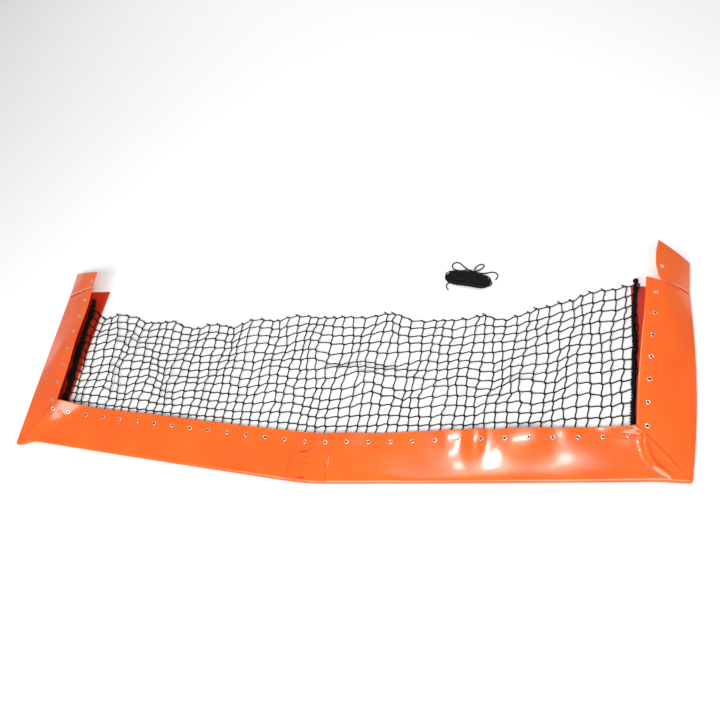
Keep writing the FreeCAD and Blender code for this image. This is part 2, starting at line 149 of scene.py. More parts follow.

# %% [markdown]
# ## Materials
# The vinyl is a coated cloth: a clear glossy face over a faint woven scrim, a little uneven in gloss. Twine,
# rope and cord share one braided look, read from a map that runs along each strand, with the grooves between
# strands painted darker as shade. Colours and bumps come from shared node groups, so one place sets each
# effect.


# %% Node helpers and shared groups
def new_group(name, inputs, outputs):
    group = bpy.data.node_groups.new(name, "ShaderNodeTree")
    for socket_name, kind, value in inputs:
        socket = group.interface.new_socket(socket_name, in_out="INPUT", socket_type=kind)
        socket.default_value = value
    for socket_name, kind in outputs:
        group.interface.new_socket(socket_name, in_out="OUTPUT", socket_type=kind)
    return group, group.nodes.new("NodeGroupInput"), group.nodes.new("NodeGroupOutput")


def node(tree, kind, **settings):
    made = tree.nodes.new(kind)
    for key, value in settings.items():
        setattr(made, key, value)
    return made


def maths(tree, operation, a, b=None, c=None):
    made = node(tree, "ShaderNodeMath", operation=operation)
    for index, value in enumerate((a, b, c)):
        if value is None:
            continue
        if isinstance(value, (int, float)):
            made.inputs[index].default_value = value
        else:
            tree.links.new(value, made.inputs[index])
    return made.outputs[0]


def noise(tree, vector, scale, detail=2.0, roughness=0.5):
    made = node(tree, "ShaderNodeTexNoise")
    made.inputs["Scale"].default_value = scale
    made.inputs["Detail"].default_value = detail
    made.inputs["Roughness"].default_value = roughness
    tree.links.new(vector, made.inputs["Vector"])
    return made.outputs["Fac"]


def remap(tree, value, low, high, to_low, to_high):
    made = node(tree, "ShaderNodeMapRange")
    tree.links.new(value, made.inputs["Value"])
    for name, number in (("From Min", low), ("From Max", high), ("To Min", to_low), ("To Max", to_high)):
        made.inputs[name].default_value = number
    return made.outputs["Result"]


def wave_ridges(tree, value, frequency):
    """Ridges across a value: the size of a sine."""
    turned = maths(tree, "SINE", maths(tree, "MULTIPLY", value, frequency))
    return maths(tree, "ABSOLUTE", turned)


def make_scrim_group():
    """A faint woven scrim under the coating, and broad unevenness of gloss."""
    group, start, end = new_group(
        "Coated cloth",
        [("Vector", "NodeSocketVector", (0, 0, 0)), ("Thread spacing", "NodeSocketFloat", 0.0011)],
        [("Weave", "NodeSocketFloat"), ("Cloud", "NodeSocketFloat"), ("Smudge", "NodeSocketFloat")],
    )
    parts = node(group, "ShaderNodeSeparateXYZ")
    group.links.new(start.outputs["Vector"], parts.inputs[0])
    frequency = maths(group, "DIVIDE", math.pi, start.outputs["Thread spacing"])
    across = wave_ridges(group, parts.outputs[0], frequency)
    along = wave_ridges(group, parts.outputs[1], frequency)
    group.links.new(maths(group, "MAXIMUM", across, along), end.inputs["Weave"])
    group.links.new(noise(group, start.outputs["Vector"], 6.0, 3.0), end.inputs["Cloud"])
    group.links.new(noise(group, start.outputs["Vector"], 38.0, 5.0, 0.6), end.inputs["Smudge"])
    return group


def make_braid_group():
    """Crossing strands from a map that runs round (X) and along (Y) a cord, in metres along."""
    group, start, end = new_group(
        "Braid",
        [("Vector", "NodeSocketVector", (0, 0, 0)), ("Picks per metre", "NodeSocketFloat", 420.0)],
        [("Height", "NodeSocketFloat"), ("Shade", "NodeSocketFloat")],
    )
    parts = node(group, "ShaderNodeSeparateXYZ")
    group.links.new(start.outputs["Vector"], parts.inputs[0])
    along = maths(group, "MULTIPLY", parts.outputs[1], start.outputs["Picks per metre"])
    round_turns = maths(group, "MULTIPLY", parts.outputs[0], 4.0)
    one = wave_ridges(group, maths(group, "ADD", along, round_turns), math.pi)
    other = wave_ridges(group, maths(group, "SUBTRACT", along, round_turns), math.pi)
    group.links.new(maths(group, "MULTIPLY", one, other), end.inputs["Height"])
    group.links.new(noise(group, start.outputs["Vector"], 60.0, 3.0), end.inputs["Shade"])
    return group


SCRIM = make_scrim_group()
BRAID = make_braid_group()


def new_material(name):
    material = bpy.data.materials.new(name)
    material.use_nodes = True
    tree = material.node_tree
    return material, tree, tree.nodes["Principled BSDF"]


def mixed(tree, factor, first, second):
    made = node(tree, "ShaderNodeMix", data_type="RGBA")
    tree.links.new(factor, made.inputs[0])
    for index, value in ((6, first), (7, second)):
        if isinstance(value, tuple):
            made.inputs[index].default_value = value
        else:
            tree.links.new(value, made.inputs[index])
    return made.outputs[2]


def bumped(tree, shader, height, strength, distance):
    made = node(tree, "ShaderNodeBump")
    made.inputs["Strength"].default_value = strength
    made.inputs["Distance"].default_value = distance
    tree.links.new(height, made.inputs["Height"])
    tree.links.new(made.outputs["Normal"], shader.inputs["Normal"])


def vinyl_material(name, bright, deep, gloss):
    material, tree, shader = new_material(name)
    place = node(tree, "ShaderNodeTexCoord").outputs["Object"]
    cloth = node(tree, "ShaderNodeGroup", node_tree=SCRIM)
    tree.links.new(place, cloth.inputs["Vector"])
    factor = remap(tree, cloth.outputs["Cloud"], 0.32, 0.68, 0.0, 1.0)
    tree.links.new(mixed(tree, factor, deep, bright), shader.inputs["Base Color"])
    rough = remap(tree, cloth.outputs["Smudge"], 0.3, 0.7, gloss, gloss + 0.07)
    tree.links.new(rough, shader.inputs["Roughness"])
    shader.inputs["Coat Weight"].default_value = 0.30
    shader.inputs["Coat Roughness"].default_value = 0.07
    shader.inputs["IOR"].default_value = 1.52
    bumped(tree, shader, cloth.outputs["Weave"], 0.10, 0.00012)
    return material


def strand_material(name, dark, light, picks, depth):
    material, tree, shader = new_material(name)
    place = node(tree, "ShaderNodeUVMap", uv_map="Strand").outputs["UV"]
    braid = node(tree, "ShaderNodeGroup", node_tree=BRAID)
    braid.inputs["Picks per metre"].default_value = picks
    tree.links.new(place, braid.inputs["Vector"])
    # The colour follows the braid's height: the grooves between strands are painted darker, as shade.
    tree.links.new(mixed(tree, braid.outputs["Height"], dark, light), shader.inputs["Base Color"])
    shader.inputs["Roughness"].default_value = 0.75
    shader.inputs["Specular IOR Level"].default_value = 0.18
    bumped(tree, shader, braid.outputs["Height"], 0.8, depth)
    return material


def eyelet_material():
    material, tree, shader = new_material("Nickel")
    place = node(tree, "ShaderNodeTexCoord").outputs["Object"]
    wear = noise(tree, place, 900.0, 3.0)
    tree.links.new(remap(tree, wear, 0.3, 0.7, 0.14, 0.34), shader.inputs["Roughness"])
    tree.links.new(mixed(tree, wear, (0.70, 0.66, 0.58, 1), (0.92, 0.90, 0.85, 1)), shader.inputs["Base Color"])
    shader.inputs["Metallic"].default_value = 1.0
    return material


def thread_material():
    material, tree, shader = new_material("Stitching")
    place = node(tree, "ShaderNodeTexCoord").outputs["Object"]
    fuzz = noise(tree, place, 2500.0, 2.0)
    colour = mixed(tree, fuzz, (0.16, 0.006, 0.004, 1), (0.34, 0.02, 0.012, 1))
    tree.links.new(colour, shader.inputs["Base Color"])
    shader.inputs["Roughness"].default_value = 0.7
    return material


VINYL_LOOK = vinyl_material("Orange vinyl", (0.94, 0.138, 0.012, 1), (0.86, 0.108, 0.009, 1), 0.20)
# The arms' lower leaves take a deeper red: painted shade for the shadowed inside of the sleeves.
SLEEVE_SHADE_LOOK = vinyl_material(
    "Sleeve vinyl painted dark as shade", (0.60, 0.030, 0.004, 1), (0.46, 0.018, 0.003, 1), 0.34
)
LABEL_LOOK = vinyl_material("Label vinyl", (0.90, 0.128, 0.011, 1), (0.84, 0.104, 0.009, 1), 0.16)
TWINE_LOOK = strand_material("Net twine", (0.0015, 0.0015, 0.002, 1), (0.009, 0.009, 0.010, 1), 330.0, 0.0004)
ROPE_LOOK = strand_material("Edge rope", (0.0015, 0.0015, 0.002, 1), (0.009, 0.009, 0.010, 1), 260.0, 0.0006)
CORD_LOOK = strand_material("Lacing cord", (0.002, 0.002, 0.0024, 1), (0.016, 0.016, 0.018, 1), 420.0, 0.0004)
METAL_LOOK = eyelet_material()
THREAD_LOOK = thread_material()


# %% [markdown]
# ## Mesh helpers
# A sheet is built as two grids one thickness apart, closed round its rim, so that it is a real solid with
# outward faces. Anything sewn or punched into a sheet is placed by dropping a ray on it, so that it always
# sits on the real surface.


# %% Mesh helpers
def mesh_object(name, points, faces, material):
    mesh = bpy.data.meshes.new(name)
    mesh.from_pydata([tuple(p) for p in points], [], [tuple(f) for f in faces])
    mesh.materials.append(material)
    mesh.update()
    mesh.polygons.foreach_set("use_smooth", [True] * len(mesh.polygons))
    made = bpy.data.objects.new(name, mesh)
    bpy.context.scene.collection.objects.link(made)
    return made


def grid_normals(points):
    normals = np.cross(np.gradient(points, axis=0), np.gradient(points, axis=1))
    return normals / np.maximum(np.linalg.norm(normals, axis=2, keepdims=True), 1e-12)


def sheet_solid(name, middle, thickness, material):
    """A closed sheet round a grid of middle points, shape (rows, columns, 3)."""
    rows, columns = middle.shape[:2]
    normals = grid_normals(middle)
    points = np.concatenate([
        (middle + normals * thickness / 2).reshape(-1, 3),
        (middle - normals * thickness / 2).reshape(-1, 3),
    ])
    index = np.arange(rows * columns).reshape(rows, columns)
    shift = rows * columns
    top = np.stack([index[:-1, :-1], index[1:, :-1], index[1:, 1:], index[:-1, 1:]], -1).reshape(-1, 4)
    bottom = top[:, ::-1] + shift
    rim = np.concatenate([index[:, 0], index[-1, 1:], index[-2::-1, -1], index[0, -2:0:-1]])
    after = np.roll(rim, -1)
    sides = np.stack([rim, rim + shift, after + shift, after], -1)
    return mesh_object(name, points, np.concatenate([top, bottom, sides]), material)


def surface_of(piece):
    places = [v.co.copy() for v in piece.data.vertices]
    return BVHTree.FromPolygons(places, [tuple(p.vertices) for p in piece.data.polygons])


def drop(tree, x, y):
    """The first surface point and normal under a plan point."""
    place, normal, _, _ = tree.ray_cast(Vector((x, y, 1.0)), Vector((0, 0, -1)))
    return place, normal


# %% [markdown]
# ## Copies and strands
# Eyelets, knots and stitches are one small shape each, set on many points. Twine, rope and cord are a round or
# lobed section carried along paths. Two Geometry Nodes groups do both jobs: the shape and the places stay
# apart, and a twist is only a tilt that grows along the path.


# %% Geometry Nodes: shared parts
def geometry_group(name, inputs):
    group = bpy.data.node_groups.new(name, "GeometryNodeTree")
    for socket_name, kind, value in inputs:
        socket = group.interface.new_socket(socket_name, in_out="INPUT", socket_type=kind)
        if value is not None:
            socket.default_value = value
    group.interface.new_socket("Geometry", in_out="OUTPUT", socket_type="NodeSocketGeometry")
    return group, group.nodes.new("NodeGroupInput"), group.nodes.new("NodeGroupOutput")


def stored(group, geometry, name, value, kind, domain):
    made = node(group, "GeometryNodeStoreNamedAttribute", data_type=kind, domain=domain)
    made.inputs["Name"].default_value = name
    group.links.new(geometry, made.inputs["Geometry"])
    group.links.new(value, made.inputs["Value"])
    return made.outputs["Geometry"]


def named(group, name, kind):
    made = node(group, "GeometryNodeInputNamedAttribute", data_type=kind)
    made.inputs["Name"].default_value = name
    return made.outputs["Attribute"]


# %% Geometry Nodes: copies of one shape on turned points
def make_copies_group():
    group, start, end = geometry_group("Copies on points", [
        ("Points", "NodeSocketGeometry", None),
        ("Shape", "NodeSocketObject", None),
        ("Material", "NodeSocketMaterial", None),
    ])
    link = group.links.new
    shape = node(group, "GeometryNodeObjectInfo")
    copies = node(group, "GeometryNodeInstanceOnPoints")
    real = node(group, "GeometryNodeRealizeInstances")
    paint = node(group, "GeometryNodeSetMaterial")
    link(start.outputs["Points"], copies.inputs["Points"])
    link(start.outputs["Shape"], shape.inputs["Object"])
    link(shape.outputs["Geometry"], copies.inputs["Instance"])
    link(named(group, "turn", "FLOAT_VECTOR"), copies.inputs["Rotation"])
    link(named(group, "size", "FLOAT_VECTOR"), copies.inputs["Scale"])
    link(copies.outputs["Instances"], real.inputs["Geometry"])
    link(real.outputs["Geometry"], paint.inputs["Geometry"])
    link(start.outputs["Material"], paint.inputs["Material"])
    link(paint.outputs["Geometry"], end.inputs["Geometry"])
    return group


# %% Geometry Nodes: strands along paths
def make_strands_group():
    group, start, end = geometry_group("Strands along paths", [
        ("Paths", "NodeSocketGeometry", None),
        ("Radius", "NodeSocketFloat", 0.002),
        ("Sides", "NodeSocketInt", 6),
        ("Lobes", "NodeSocketInt", 0),
        ("Lobe depth", "NodeSocketFloat", 0.0),
        ("Twist per metre", "NodeSocketFloat", 0.0),
        ("Material", "NodeSocketMaterial", None),
    ])
    link = group.links.new
    value = start.outputs
    curve = node(group, "GeometryNodeMeshToCurve")
    link(value["Paths"], curve.inputs["Mesh"])
    run = node(group, "GeometryNodeSplineParameter").outputs["Length"]
    marked = stored(group, curve.outputs["Curve"], "run", run, "FLOAT", "POINT")
    tilt = node(group, "GeometryNodeSetCurveTilt")
    link(marked, tilt.inputs["Curve"])
    link(maths(group, "MULTIPLY", run, value["Twist per metre"]), tilt.inputs["Tilt"])
    ring = node(group, "GeometryNodeCurvePrimitiveCircle", mode="RADIUS")
    link(value["Sides"], ring.inputs["Resolution"])
    link(value["Radius"], ring.inputs["Radius"])
    turn = node(group, "GeometryNodeSplineParameter").outputs["Factor"]
    ring_marked = stored(group, ring.outputs["Curve"], "round", turn, "FLOAT", "POINT")
    lobe_angle = maths(group, "MULTIPLY", maths(group, "MULTIPLY", turn, value["Lobes"]), math.pi)
    dip = maths(group, "SUBTRACT", 1.0, maths(group, "ABSOLUTE", maths(group, "COSINE", lobe_angle)))
    scale = maths(group, "SUBTRACT", 1.0, maths(group, "MULTIPLY", dip, value["Lobe depth"]))
    swell = node(group, "ShaderNodeVectorMath", operation="SCALE")
    link(node(group, "GeometryNodeInputPosition").outputs[0], swell.inputs[0])
    link(scale, swell.inputs["Scale"])
    lobed = node(group, "GeometryNodeSetPosition")
    link(ring_marked, lobed.inputs["Geometry"])
    link(swell.outputs[0], lobed.inputs["Position"])
    tube = node(group, "GeometryNodeCurveToMesh")
    tube.inputs["Fill Caps"].default_value = True
    link(tilt.outputs["Curve"], tube.inputs["Curve"])
    link(lobed.outputs["Geometry"], tube.inputs["Profile Curve"])
    both = node(group, "ShaderNodeCombineXYZ")
    link(named(group, "round", "FLOAT"), both.inputs[0])
    link(named(group, "run", "FLOAT"), both.inputs[1])
    mapped = stored(group, tube.outputs["Mesh"], "Strand", both.outputs[0], "FLOAT2", "CORNER")
    real = node(group, "GeometryNodeRealizeInstances")
    paint = node(group, "GeometryNodeSetMaterial")
    link(mapped, real.inputs["Geometry"])
    link(real.outputs["Geometry"], paint.inputs["Geometry"])
    link(value["Material"], paint.inputs["Material"])
    link(paint.outputs["Geometry"], end.inputs["Geometry"])
    return group


COPIES = make_copies_group()
STRANDS = make_strands_group()


# %% Running a node group and keeping its result
def set_inputs(modifier, values):
    for item in modifier.node_group.interface.items_tree:
        if item.item_type == "SOCKET" and item.in_out == "INPUT" and item.name in values:
            modifier[item.identifier] = values[item.name]


def made_by(group, name, mesh, values, spare=()):
    """Runs a node group on a mesh and keeps the result as a plain object."""
    host = bpy.data.objects.new(name + "_host", mesh)
    bpy.context.scene.collection.objects.link(host)
    modifier = host.modifiers.new("nodes", "NODES")
    modifier.node_group = group
    set_inputs(modifier, values)
    bpy.context.view_layer.update()
    evaluated = host.evaluated_get(bpy.context.evaluated_depsgraph_get())
    result = bpy.data.meshes.new_from_object(evaluated)
    result.name = name
    for attribute in spare:
        if attribute in result.attributes:
            result.attributes.remove(result.attributes[attribute])
    result.polygons.foreach_set("use_smooth", [True] * len(result.polygons))
    made = bpy.data.objects.new(name, result)
    bpy.context.scene.collection.objects.link(made)
    bpy.data.objects.remove(host)
    return made


def copies(name, shape, places, turns, material, sizes=None):
    """Copies of shape on places, each turned by XYZ angles."""
    mesh = bpy.data.meshes.new(name + "_points")
    mesh.from_pydata([tuple(p) for p in places], [], [])
    sizes = np.ones((len(places), 3)) if sizes is None else sizes
    for label, data in (("turn", turns), ("size", sizes)):
        attribute = mesh.attributes.new(label, "FLOAT_VECTOR", "POINT")
        attribute.data.foreach_set("vector", np.array(data, np.float32).ravel())
    return made_by(COPIES, name, mesh, {"Shape": shape, "Material": material}, ("turn", "size"))


def strands(name, paths, radius, sides, material, lobes=0, depth=0.0, twist=0.0):
    """One mesh of capped tubes along paths."""
    mesh = bpy.data.meshes.new(name + "_paths")
    points, edges = [], []
    for path in paths:
        edges += [(len(points) + i, len(points) + i + 1) for i in range(len(path) - 1)]
        points += [tuple(p) for p in path]
    mesh.from_pydata(points, edges, [])
    values = {
        "Radius": radius, "Sides": sides, "Lobes": lobes, "Lobe depth": depth,
        "Twist per metre": twist, "Material": material,
    }
    made = made_by(STRANDS, name, mesh, values, ("run", "round"))
    return outward(made)


def outward(piece):
    """Turns every face of a closed piece outwards."""
    work = bmesh.new()
    work.from_mesh(piece.data)
    bmesh.ops.remove_doubles(work, verts=work.verts, dist=1e-6)
    bmesh.ops.recalc_face_normals(work, faces=work.faces)
    work.to_mesh(piece.data)
    work.free()
    return piece


def turn_to(direction):
    """XYZ angles that carry +Z to a direction."""
    return tuple(Vector(direction).to_track_quat("Z", "Y").to_euler("XYZ"))


# %% [markdown]
# ## The spare lacing cord
# One limp cord, wound into a flat hank, wrapped round its waist and left with a few loose loops. It is one
# smooth spline: nested ovals, then tight wraps, then listed loops that lie on the floor. A small seeded
# shake makes no two turns alike.

# %% Hank of lacing cord
HANK_AT = np.array([0.458, 0.556])
HANK_TURN = math.radians(-15.0)
CORD = 4 * MM
LAYERS, NESTED = 5, 5
# of the hank's turns, in millimetres: the outermost's half sizes, and how much less each nested one has
HALF_WIDTH, HALF_LENGTH = 25.5, 69
WIDTH_STEP, LENGTH_STEP = 5.2, 3.0
LAYER_STEP, FLOOR_GAP = 4.3, 2.1
WRAP_STEP = 4.4 * MM
WRAP_MIDDLE, WRAP_HALF_HEIGHT, WRAP_HALF_WIDTH = 14.9 * MM, 12.7 * MM, 24.5 * MM
WAIST_AT = 12 * MM
rng = np.random.default_rng(7)


def hank_turn(layer, nest, rng, points=14):
    """One oval turn of the hank in its own frame."""
    half_width = (HALF_WIDTH - WIDTH_STEP * nest + rng.normal(0, 1.0)) * MM
    half_length = (HALF_LENGTH - LENGTH_STEP * nest + rng.normal(0, 4.6)) * MM
    shift = rng.normal(0, 3.4, 2) * MM
    tilt = rng.normal(0, 0.05)
    angle = np.linspace(0, 2 * math.pi, points, endpoint=False) + math.pi / 2
    x = np.sign(np.cos(angle)) * np.abs(np.cos(angle)) ** 0.62 * half_length + shift[0]
    y = np.sin(angle) * half_width + shift[1] * 0.5
    waist = bump(x, WAIST_AT, 26 * MM)
    y = y * (1 - 0.20 * waist)
    y = y + x * tilt * (1 - waist)
    crown = 1 - 0.45 * (np.abs(x) / (80 * MM)) ** 2
    z = (FLOOR_GAP + LAYER_STEP * layer * crown) * MM + 4.4 * MM * waist + rng.uniform(0, 0.5) * MM
    return np.column_stack([x, y, z])


def hank_wraps(turns=6, points=12):
    """Wraps round the waist, each one cord further along."""
    angle = np.linspace(0, 2 * math.pi * turns, turns * points, endpoint=False)
    x = WAIST_AT - 11 * MM + WRAP_STEP * angle / (2 * math.pi)
    y = WRAP_HALF_WIDTH * np.sin(angle)
    z = WRAP_MIDDLE + WRAP_HALF_HEIGHT * np.cos(angle)
    square = 1 + 0.10 * np.sin(2 * angle) ** 2
    return np.column_stack([x, y * square, WRAP_MIDDLE + (z - WRAP_MIDDLE) * square])


HANK_START = np.array([(-54, -47, 2.1), (-62, -40, 2.1), (-66, -30, 2.1), (-60, -20, 2.6)]) * MM
HANK_LOOPS = np.array([
    (22, 16, 27), (8, 24, 24), (-8, 30, 16), (-22, 31, 8), (-38, 30, 3.5), (-54, 33, 2.1), (-66, 42, 2.1),
    (-67, 54, 2.1), (-58, 63, 2.1), (-46, 63, 2.1), (-34, 55, 2.1), (-20, 45, 2.1), (-5, 37, 2.1),
    (8, 36, 2.1), (20, 42, 2.1), (31, 51, 2.1), (37, 61, 2.1), (33, 69, 2.1), (23, 69, 2.1), (14, 60, 2.1),
    (9, 49, 4), (10, 39, 6.5), (18, 32, 6.5), (32, 31, 4), (48, 36, 2.1), (62, 43, 2.1), (76, 45, 2.1),
    (87, 38, 2.1), (89, 27, 2.1), (84, 17, 2.1),
]) * MM


def hank_route():
    points = [HANK_START]
    for layer in range(LAYERS):
        order = range(NESTED) if layer % 2 == 0 else reversed(range(NESTED))
        points += [hank_turn(layer, nest, rng) for nest in order]
    points += [hank_wraps(), HANK_LOOPS]
    local = np.concatenate(points)
    c, s = math.cos(HANK_TURN), math.sin(HANK_TURN)
    plan = local[:, :2] @ np.array([[c, s], [-s, c]]) + HANK_AT
    return np.column_stack([plan, local[:, 2]])


def smooth_route(points, resolution):
    """Points read from one open NURBS spline through a route."""
    curve = bpy.data.curves.new("route", "CURVE")
    curve.dimensions = "3D"
    spline = curve.splines.new("NURBS")
    spline.points.add(len(points) - 1)
    for point, place in zip(spline.points, points):
        point.co = (*place, 1.0)
    spline.order_u = 3
    spline.use_endpoint_u = True
    spline.resolution_u = resolution
    host = bpy.data.objects.new("route", curve)
    bpy.context.scene.collection.objects.link(host)
    bpy.context.view_layer.update()
    mesh = bpy.data.meshes.new_from_object(host.evaluated_get(bpy.context.evaluated_depsgraph_get()))
    path = np.array([tuple(v.co) for v in mesh.vertices])
    bpy.data.objects.remove(host)
    return path


def path_length(path):
    return float(np.linalg.norm(np.diff(path, axis=0), axis=1).sum())


hank_path = smooth_route(hank_route(), 4)
hank = strands("lacing_cord", [hank_path], CORD / 2, 8, CORD_LOOK)
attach(hank, "hank")
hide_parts("hank_bundle", "hank_tie", "hank_loops")

# %% [markdown]
# ## How the arms lie
# An arm's two leaves share one fold. The upper leaf twists open along the arm, arches a little between its
# fold and its lip, and narrows towards its corner, where the vinyl is gathered. Its surface is found by adding
# up small steps along a slope that changes across the leaf.

# %% Surface of an arm's upper leaf
FOLD_AXIS_AT = FOLD_AT + FOLD_RADIUS
LEAF_REACH = LIP_AT - FOLD_AXIS_AT
FLAP_MIDDLE = FLAP_RADIUS - VINYL / 2
WRAP = math.radians(50)
OPENING = {
    1: (
        (-0.131, 0.0, 0.038, 0.103, 0.169, 0.231, 0.302, 0.368, 0.431, 0.50),
        (1, 3, 5, 10, 15.5, 21.5, 27, 30.5, 34, 36),
    ),
    -1: ((-0.131, 0.0, 0.08, 0.16, 0.23, 0.31, 0.39, 0.46, 0.50), (6, 12, 16.5, 19, 20, 20.5, 22, 24, 25)),
}
FOLD_SHIFT = {
    1: ((-0.131, 0.0, 0.15, 0.30, 0.46), (6, -4, -12, -8, 0)),
    -1: ((-0.131, 0.0, 0.15, 0.30, 0.46), (20, 15, 11, 7, 3)),
}
ARCH = {1: math.radians(24), -1: math.radians(8)}
ARCH_AT_FOLD = 0.28
ARCH_GROWS = (-0.05, 0.25)
CORNER_NARROWING = {1: 20 * MM, -1: 4 * MM}
CORNER_PLEATS = ((-0.055, 2.2 * MM), (-0.025, 1.8 * MM), (0.012, 1.5 * MM))
FITS = {s: (np.polyfit(*OPENING[s], 3), np.polyfit(*FOLD_SHIFT[s], 3)) for s in SIDES}


def opening(side, along):
    return np.radians(np.maximum(np.polyval(FITS[side][0], along), 0.0))


def fold_shift(side, along):
    return np.polyval(FITS[side][1], along) * MM


def narrowing(side, along):
    return 1 - CORNER_NARROWING[side] / LEAF_WIDTH * (1 - np.clip(along / ARM_LENGTH, -0.3, 1.0))


def fold_line(side, along):
    """The distances along as an array, and the points of the fold's axis there."""
    along = np.atleast_1d(np.asarray(along, float))
    return along, np.array([arm_point(side, a, FOLD_AXIS_AT) for a in along])


def slope_at_fold(side, along):
    """The upper leaf's slope where it leaves the fold: its opening and part of its arch."""
    return opening(side, along) + ARCH_AT_FOLD * ARCH[side] * smooth(along, *ARCH_GROWS)


def arm_ground(side, along, reach):
    """Plan points of an arm's lower leaf at a reach from the fold's axis."""
    along, origin = fold_line(side, along)
    inwards = reach * narrowing(side, along) + fold_shift(side, along) * (1 - max(reach, 0) / LEAF_REACH)
    return origin + ARM_IN[side] * inwards[:, None]


def leaf_lift(side, along, share):
    """Soft bulges of an arm's upper leaf, away from its arched shape."""
    body = np.sin(share * math.pi) ** 0.9
    lift = 2.0 * MM * body * np.sin(along / 0.071 + side)
    lift = lift + 1.6 * MM * share**2 * np.sin(along / 0.038 + 2.0 * side + 3 * share)
    lift = lift + 3.0 * MM * bump(along, 0.21, 0.05) * bump(share, 0.55, 0.3)
    if side == 1:
        for crest, size in CORNER_PLEATS:
            lift = lift + size * bump(along + 0.10 * share, crest, 0.006) * bump(share, 0.25, 0.28)
    return lift * smooth(along, -0.131, 0.02)


def arm_leaf(side, along, reach):
    """Middle points of an arm's upper leaf, one for each along, at one reach over the leaf."""
    along, origin = fold_line(side, along)
    start = slope_at_fold(side, along)
    bow = ARCH[side] * smooth(along, *ARCH_GROWS)
    share = np.linspace(0, max(reach, 0) / LEAF_REACH, 33)[:, None]
    slope = start[None] - bow[None] * share**2
    step = share[1, 0] * LEAF_REACH * narrowing(side, along) if reach > 0 else 0 * along
    middle = (slope[1:] + slope[:-1]) / 2
    across = (np.cos(middle) * step).sum(0) - FLAP_MIDDLE * np.sin(start)
    height = (np.sin(middle) * step).sum(0) + FLAP_MIDDLE * np.cos(start) + FOLD_RADIUS
    lift = leaf_lift(side, along, share[-1, 0])
    across = across - lift * np.sin(slope[-1])
    height = height + lift * np.cos(slope[-1])
    inwards = across + fold_shift(side, along) * (1 - share[-1, 0])
    return np.column_stack([origin + ARM_IN[side] * inwards[:, None], height])


def arm_wrap(side, along, angle):
    """Middle points of the leaf's edge where it wraps round the fold."""
    along, origin = fold_line(side, along)
    turned = slope_at_fold(side, along) + angle
    inwards = fold_shift(side, along) - FLAP_MIDDLE * np.sin(turned)
    height = FOLD_RADIUS + FLAP_MIDDLE * np.cos(turned)
    return np.column_stack([origin + ARM_IN[side] * inwards[:, None], height])


def mitre_along(side, reach):
    """How far along the arm its mitre lies at a reach."""
    offset = FOLD_AXIS_AT + reach
    return float((corner(side, offset) - arm_point(side, 0, offset)) @ ARM_DIR[side])


# %% [markdown]
# ## The front run
# One sheet, folded once: a flat lower leaf, the fold, and a loose upper leaf. The upper leaf's height is a sum
# of a cushion-like section, slow waves, two lumps near the lip and a few creases, and its two ends are drawn
# to the arms' surfaces, so that the corners close.

# %% Height of the front run's upper leaf
LEFT_CREASE = ((-0.355, -0.021), (-0.320, -0.051), (-0.272, -0.064), (-0.218, -0.070), (-0.135, -0.104))
CORNER_CREASE = ((0.905, 0.022), (0.908, -0.018), (0.922, -0.055), (0.944, -0.088), (0.980, -0.116))
END_CREASE = ((-0.896, -0.006), (-0.868, -0.065), (-0.839, -0.124))
BEND_CREASE = ((0.012, 0.020), (0.0, -0.040), (-0.012, -0.115))
# each crease: its line, width and height
CREASES = (
    (LEFT_CREASE, 0.011, 3.2 * MM), (CORNER_CREASE, 0.0075, 7.5 * MM),
    (END_CREASE, 0.004, 1.6 * MM), (BEND_CREASE, 0.014, 2.0 * MM),
)
# each bulge near the lip: its middle, its reach along and across, and its height
LUMPS = (
    ((0.476, 0.020), (0.026, 0.072), 8.5 * MM), ((0.612, 0.016), (0.068, 0.074), 9.5 * MM),
    ((0.725, 0.030), (0.030, 0.045), 3.0 * MM), ((0.40, 0.026), (0.030, 0.05), 3.0 * MM),
    ((-0.33, 0.010), (0.030, 0.05), 3.5 * MM), ((0.10, 0.020), (0.05, 0.05), 2.5 * MM),
)


def crease(along, offset, line, width, height):
    """A ridge that follows a line of points and fades at its ends."""
    best = np.full(np.broadcast(along, offset).shape, 1e9)
    points = np.array(line)
    for start, end in zip(points[:-1], points[1:]):
        step = end - start
        t = ((along - start[0]) * step[0] + (offset - start[1]) * step[1]) / (step @ step)
        t = np.clip(t, 0, 1)
        gap = np.hypot(along - start[0] - t * step[0], offset - start[1] - t * step[1])
        best = np.minimum(best, gap)
    return height * np.exp(-((best / width) ** 2))


def lump(along, offset, at, reach, height):
    return height * np.exp(-((((along - at[0]) / reach[0]) ** 2 + ((offset - at[1]) / reach[1]) ** 2) ** 1.3))


def front_height(along, offset):
    """Height of the front run's upper face; along is positive to the right of the bend."""
    across = np.clip((offset - FOLD_AT) / LEAF_WIDTH, 0, 1)
    puff = 4.6 * MM * (1 - np.exp(-across / 0.10)) * (1 - 0.35 * across)
    waves = 1.3 * MM * np.sin(along / 0.118 + 0.6 + 2.0 * across)
    waves += 0.9 * MM * np.sin(along / 0.064 - 1.2 + 3.1 * across)
    waves += 0.35 * MM * np.sin(along / 0.031 + 4.0 * across)
    lip = smooth(across, 0.45, 1.0)
    lip_waves = lip * (2.0 * MM * np.sin(along / 0.083 + 1.9) + 1.2 * MM * np.sin(along / 0.047 + 0.4))
    calm = 1 - 0.8 * bump(along, 0.56, 0.16)
    lumps = sum(lump(along, offset, *one) for one in LUMPS)
    folds = sum(crease(along, offset, *one) for one in CREASES)
    inside = smooth(across, 0.0, 0.22)
    return TOP + puff + inside * (calm * waves + lumps + folds) + calm * lip_waves


# %% Front run sheet
NARROW_AT = (-0.95, -0.55, -0.20, 0.0, 0.9)
NARROW_BY = (20, 15, 9, 7, 6)
NARROW_FIT = np.polyfit(NARROW_AT, NARROW_BY, 2)
BEND_SOFT = 0.05
PULL_FADE = 0.10
SEAM_RIDGE = {1: 3.2 * MM, -1: 0.6 * MM}


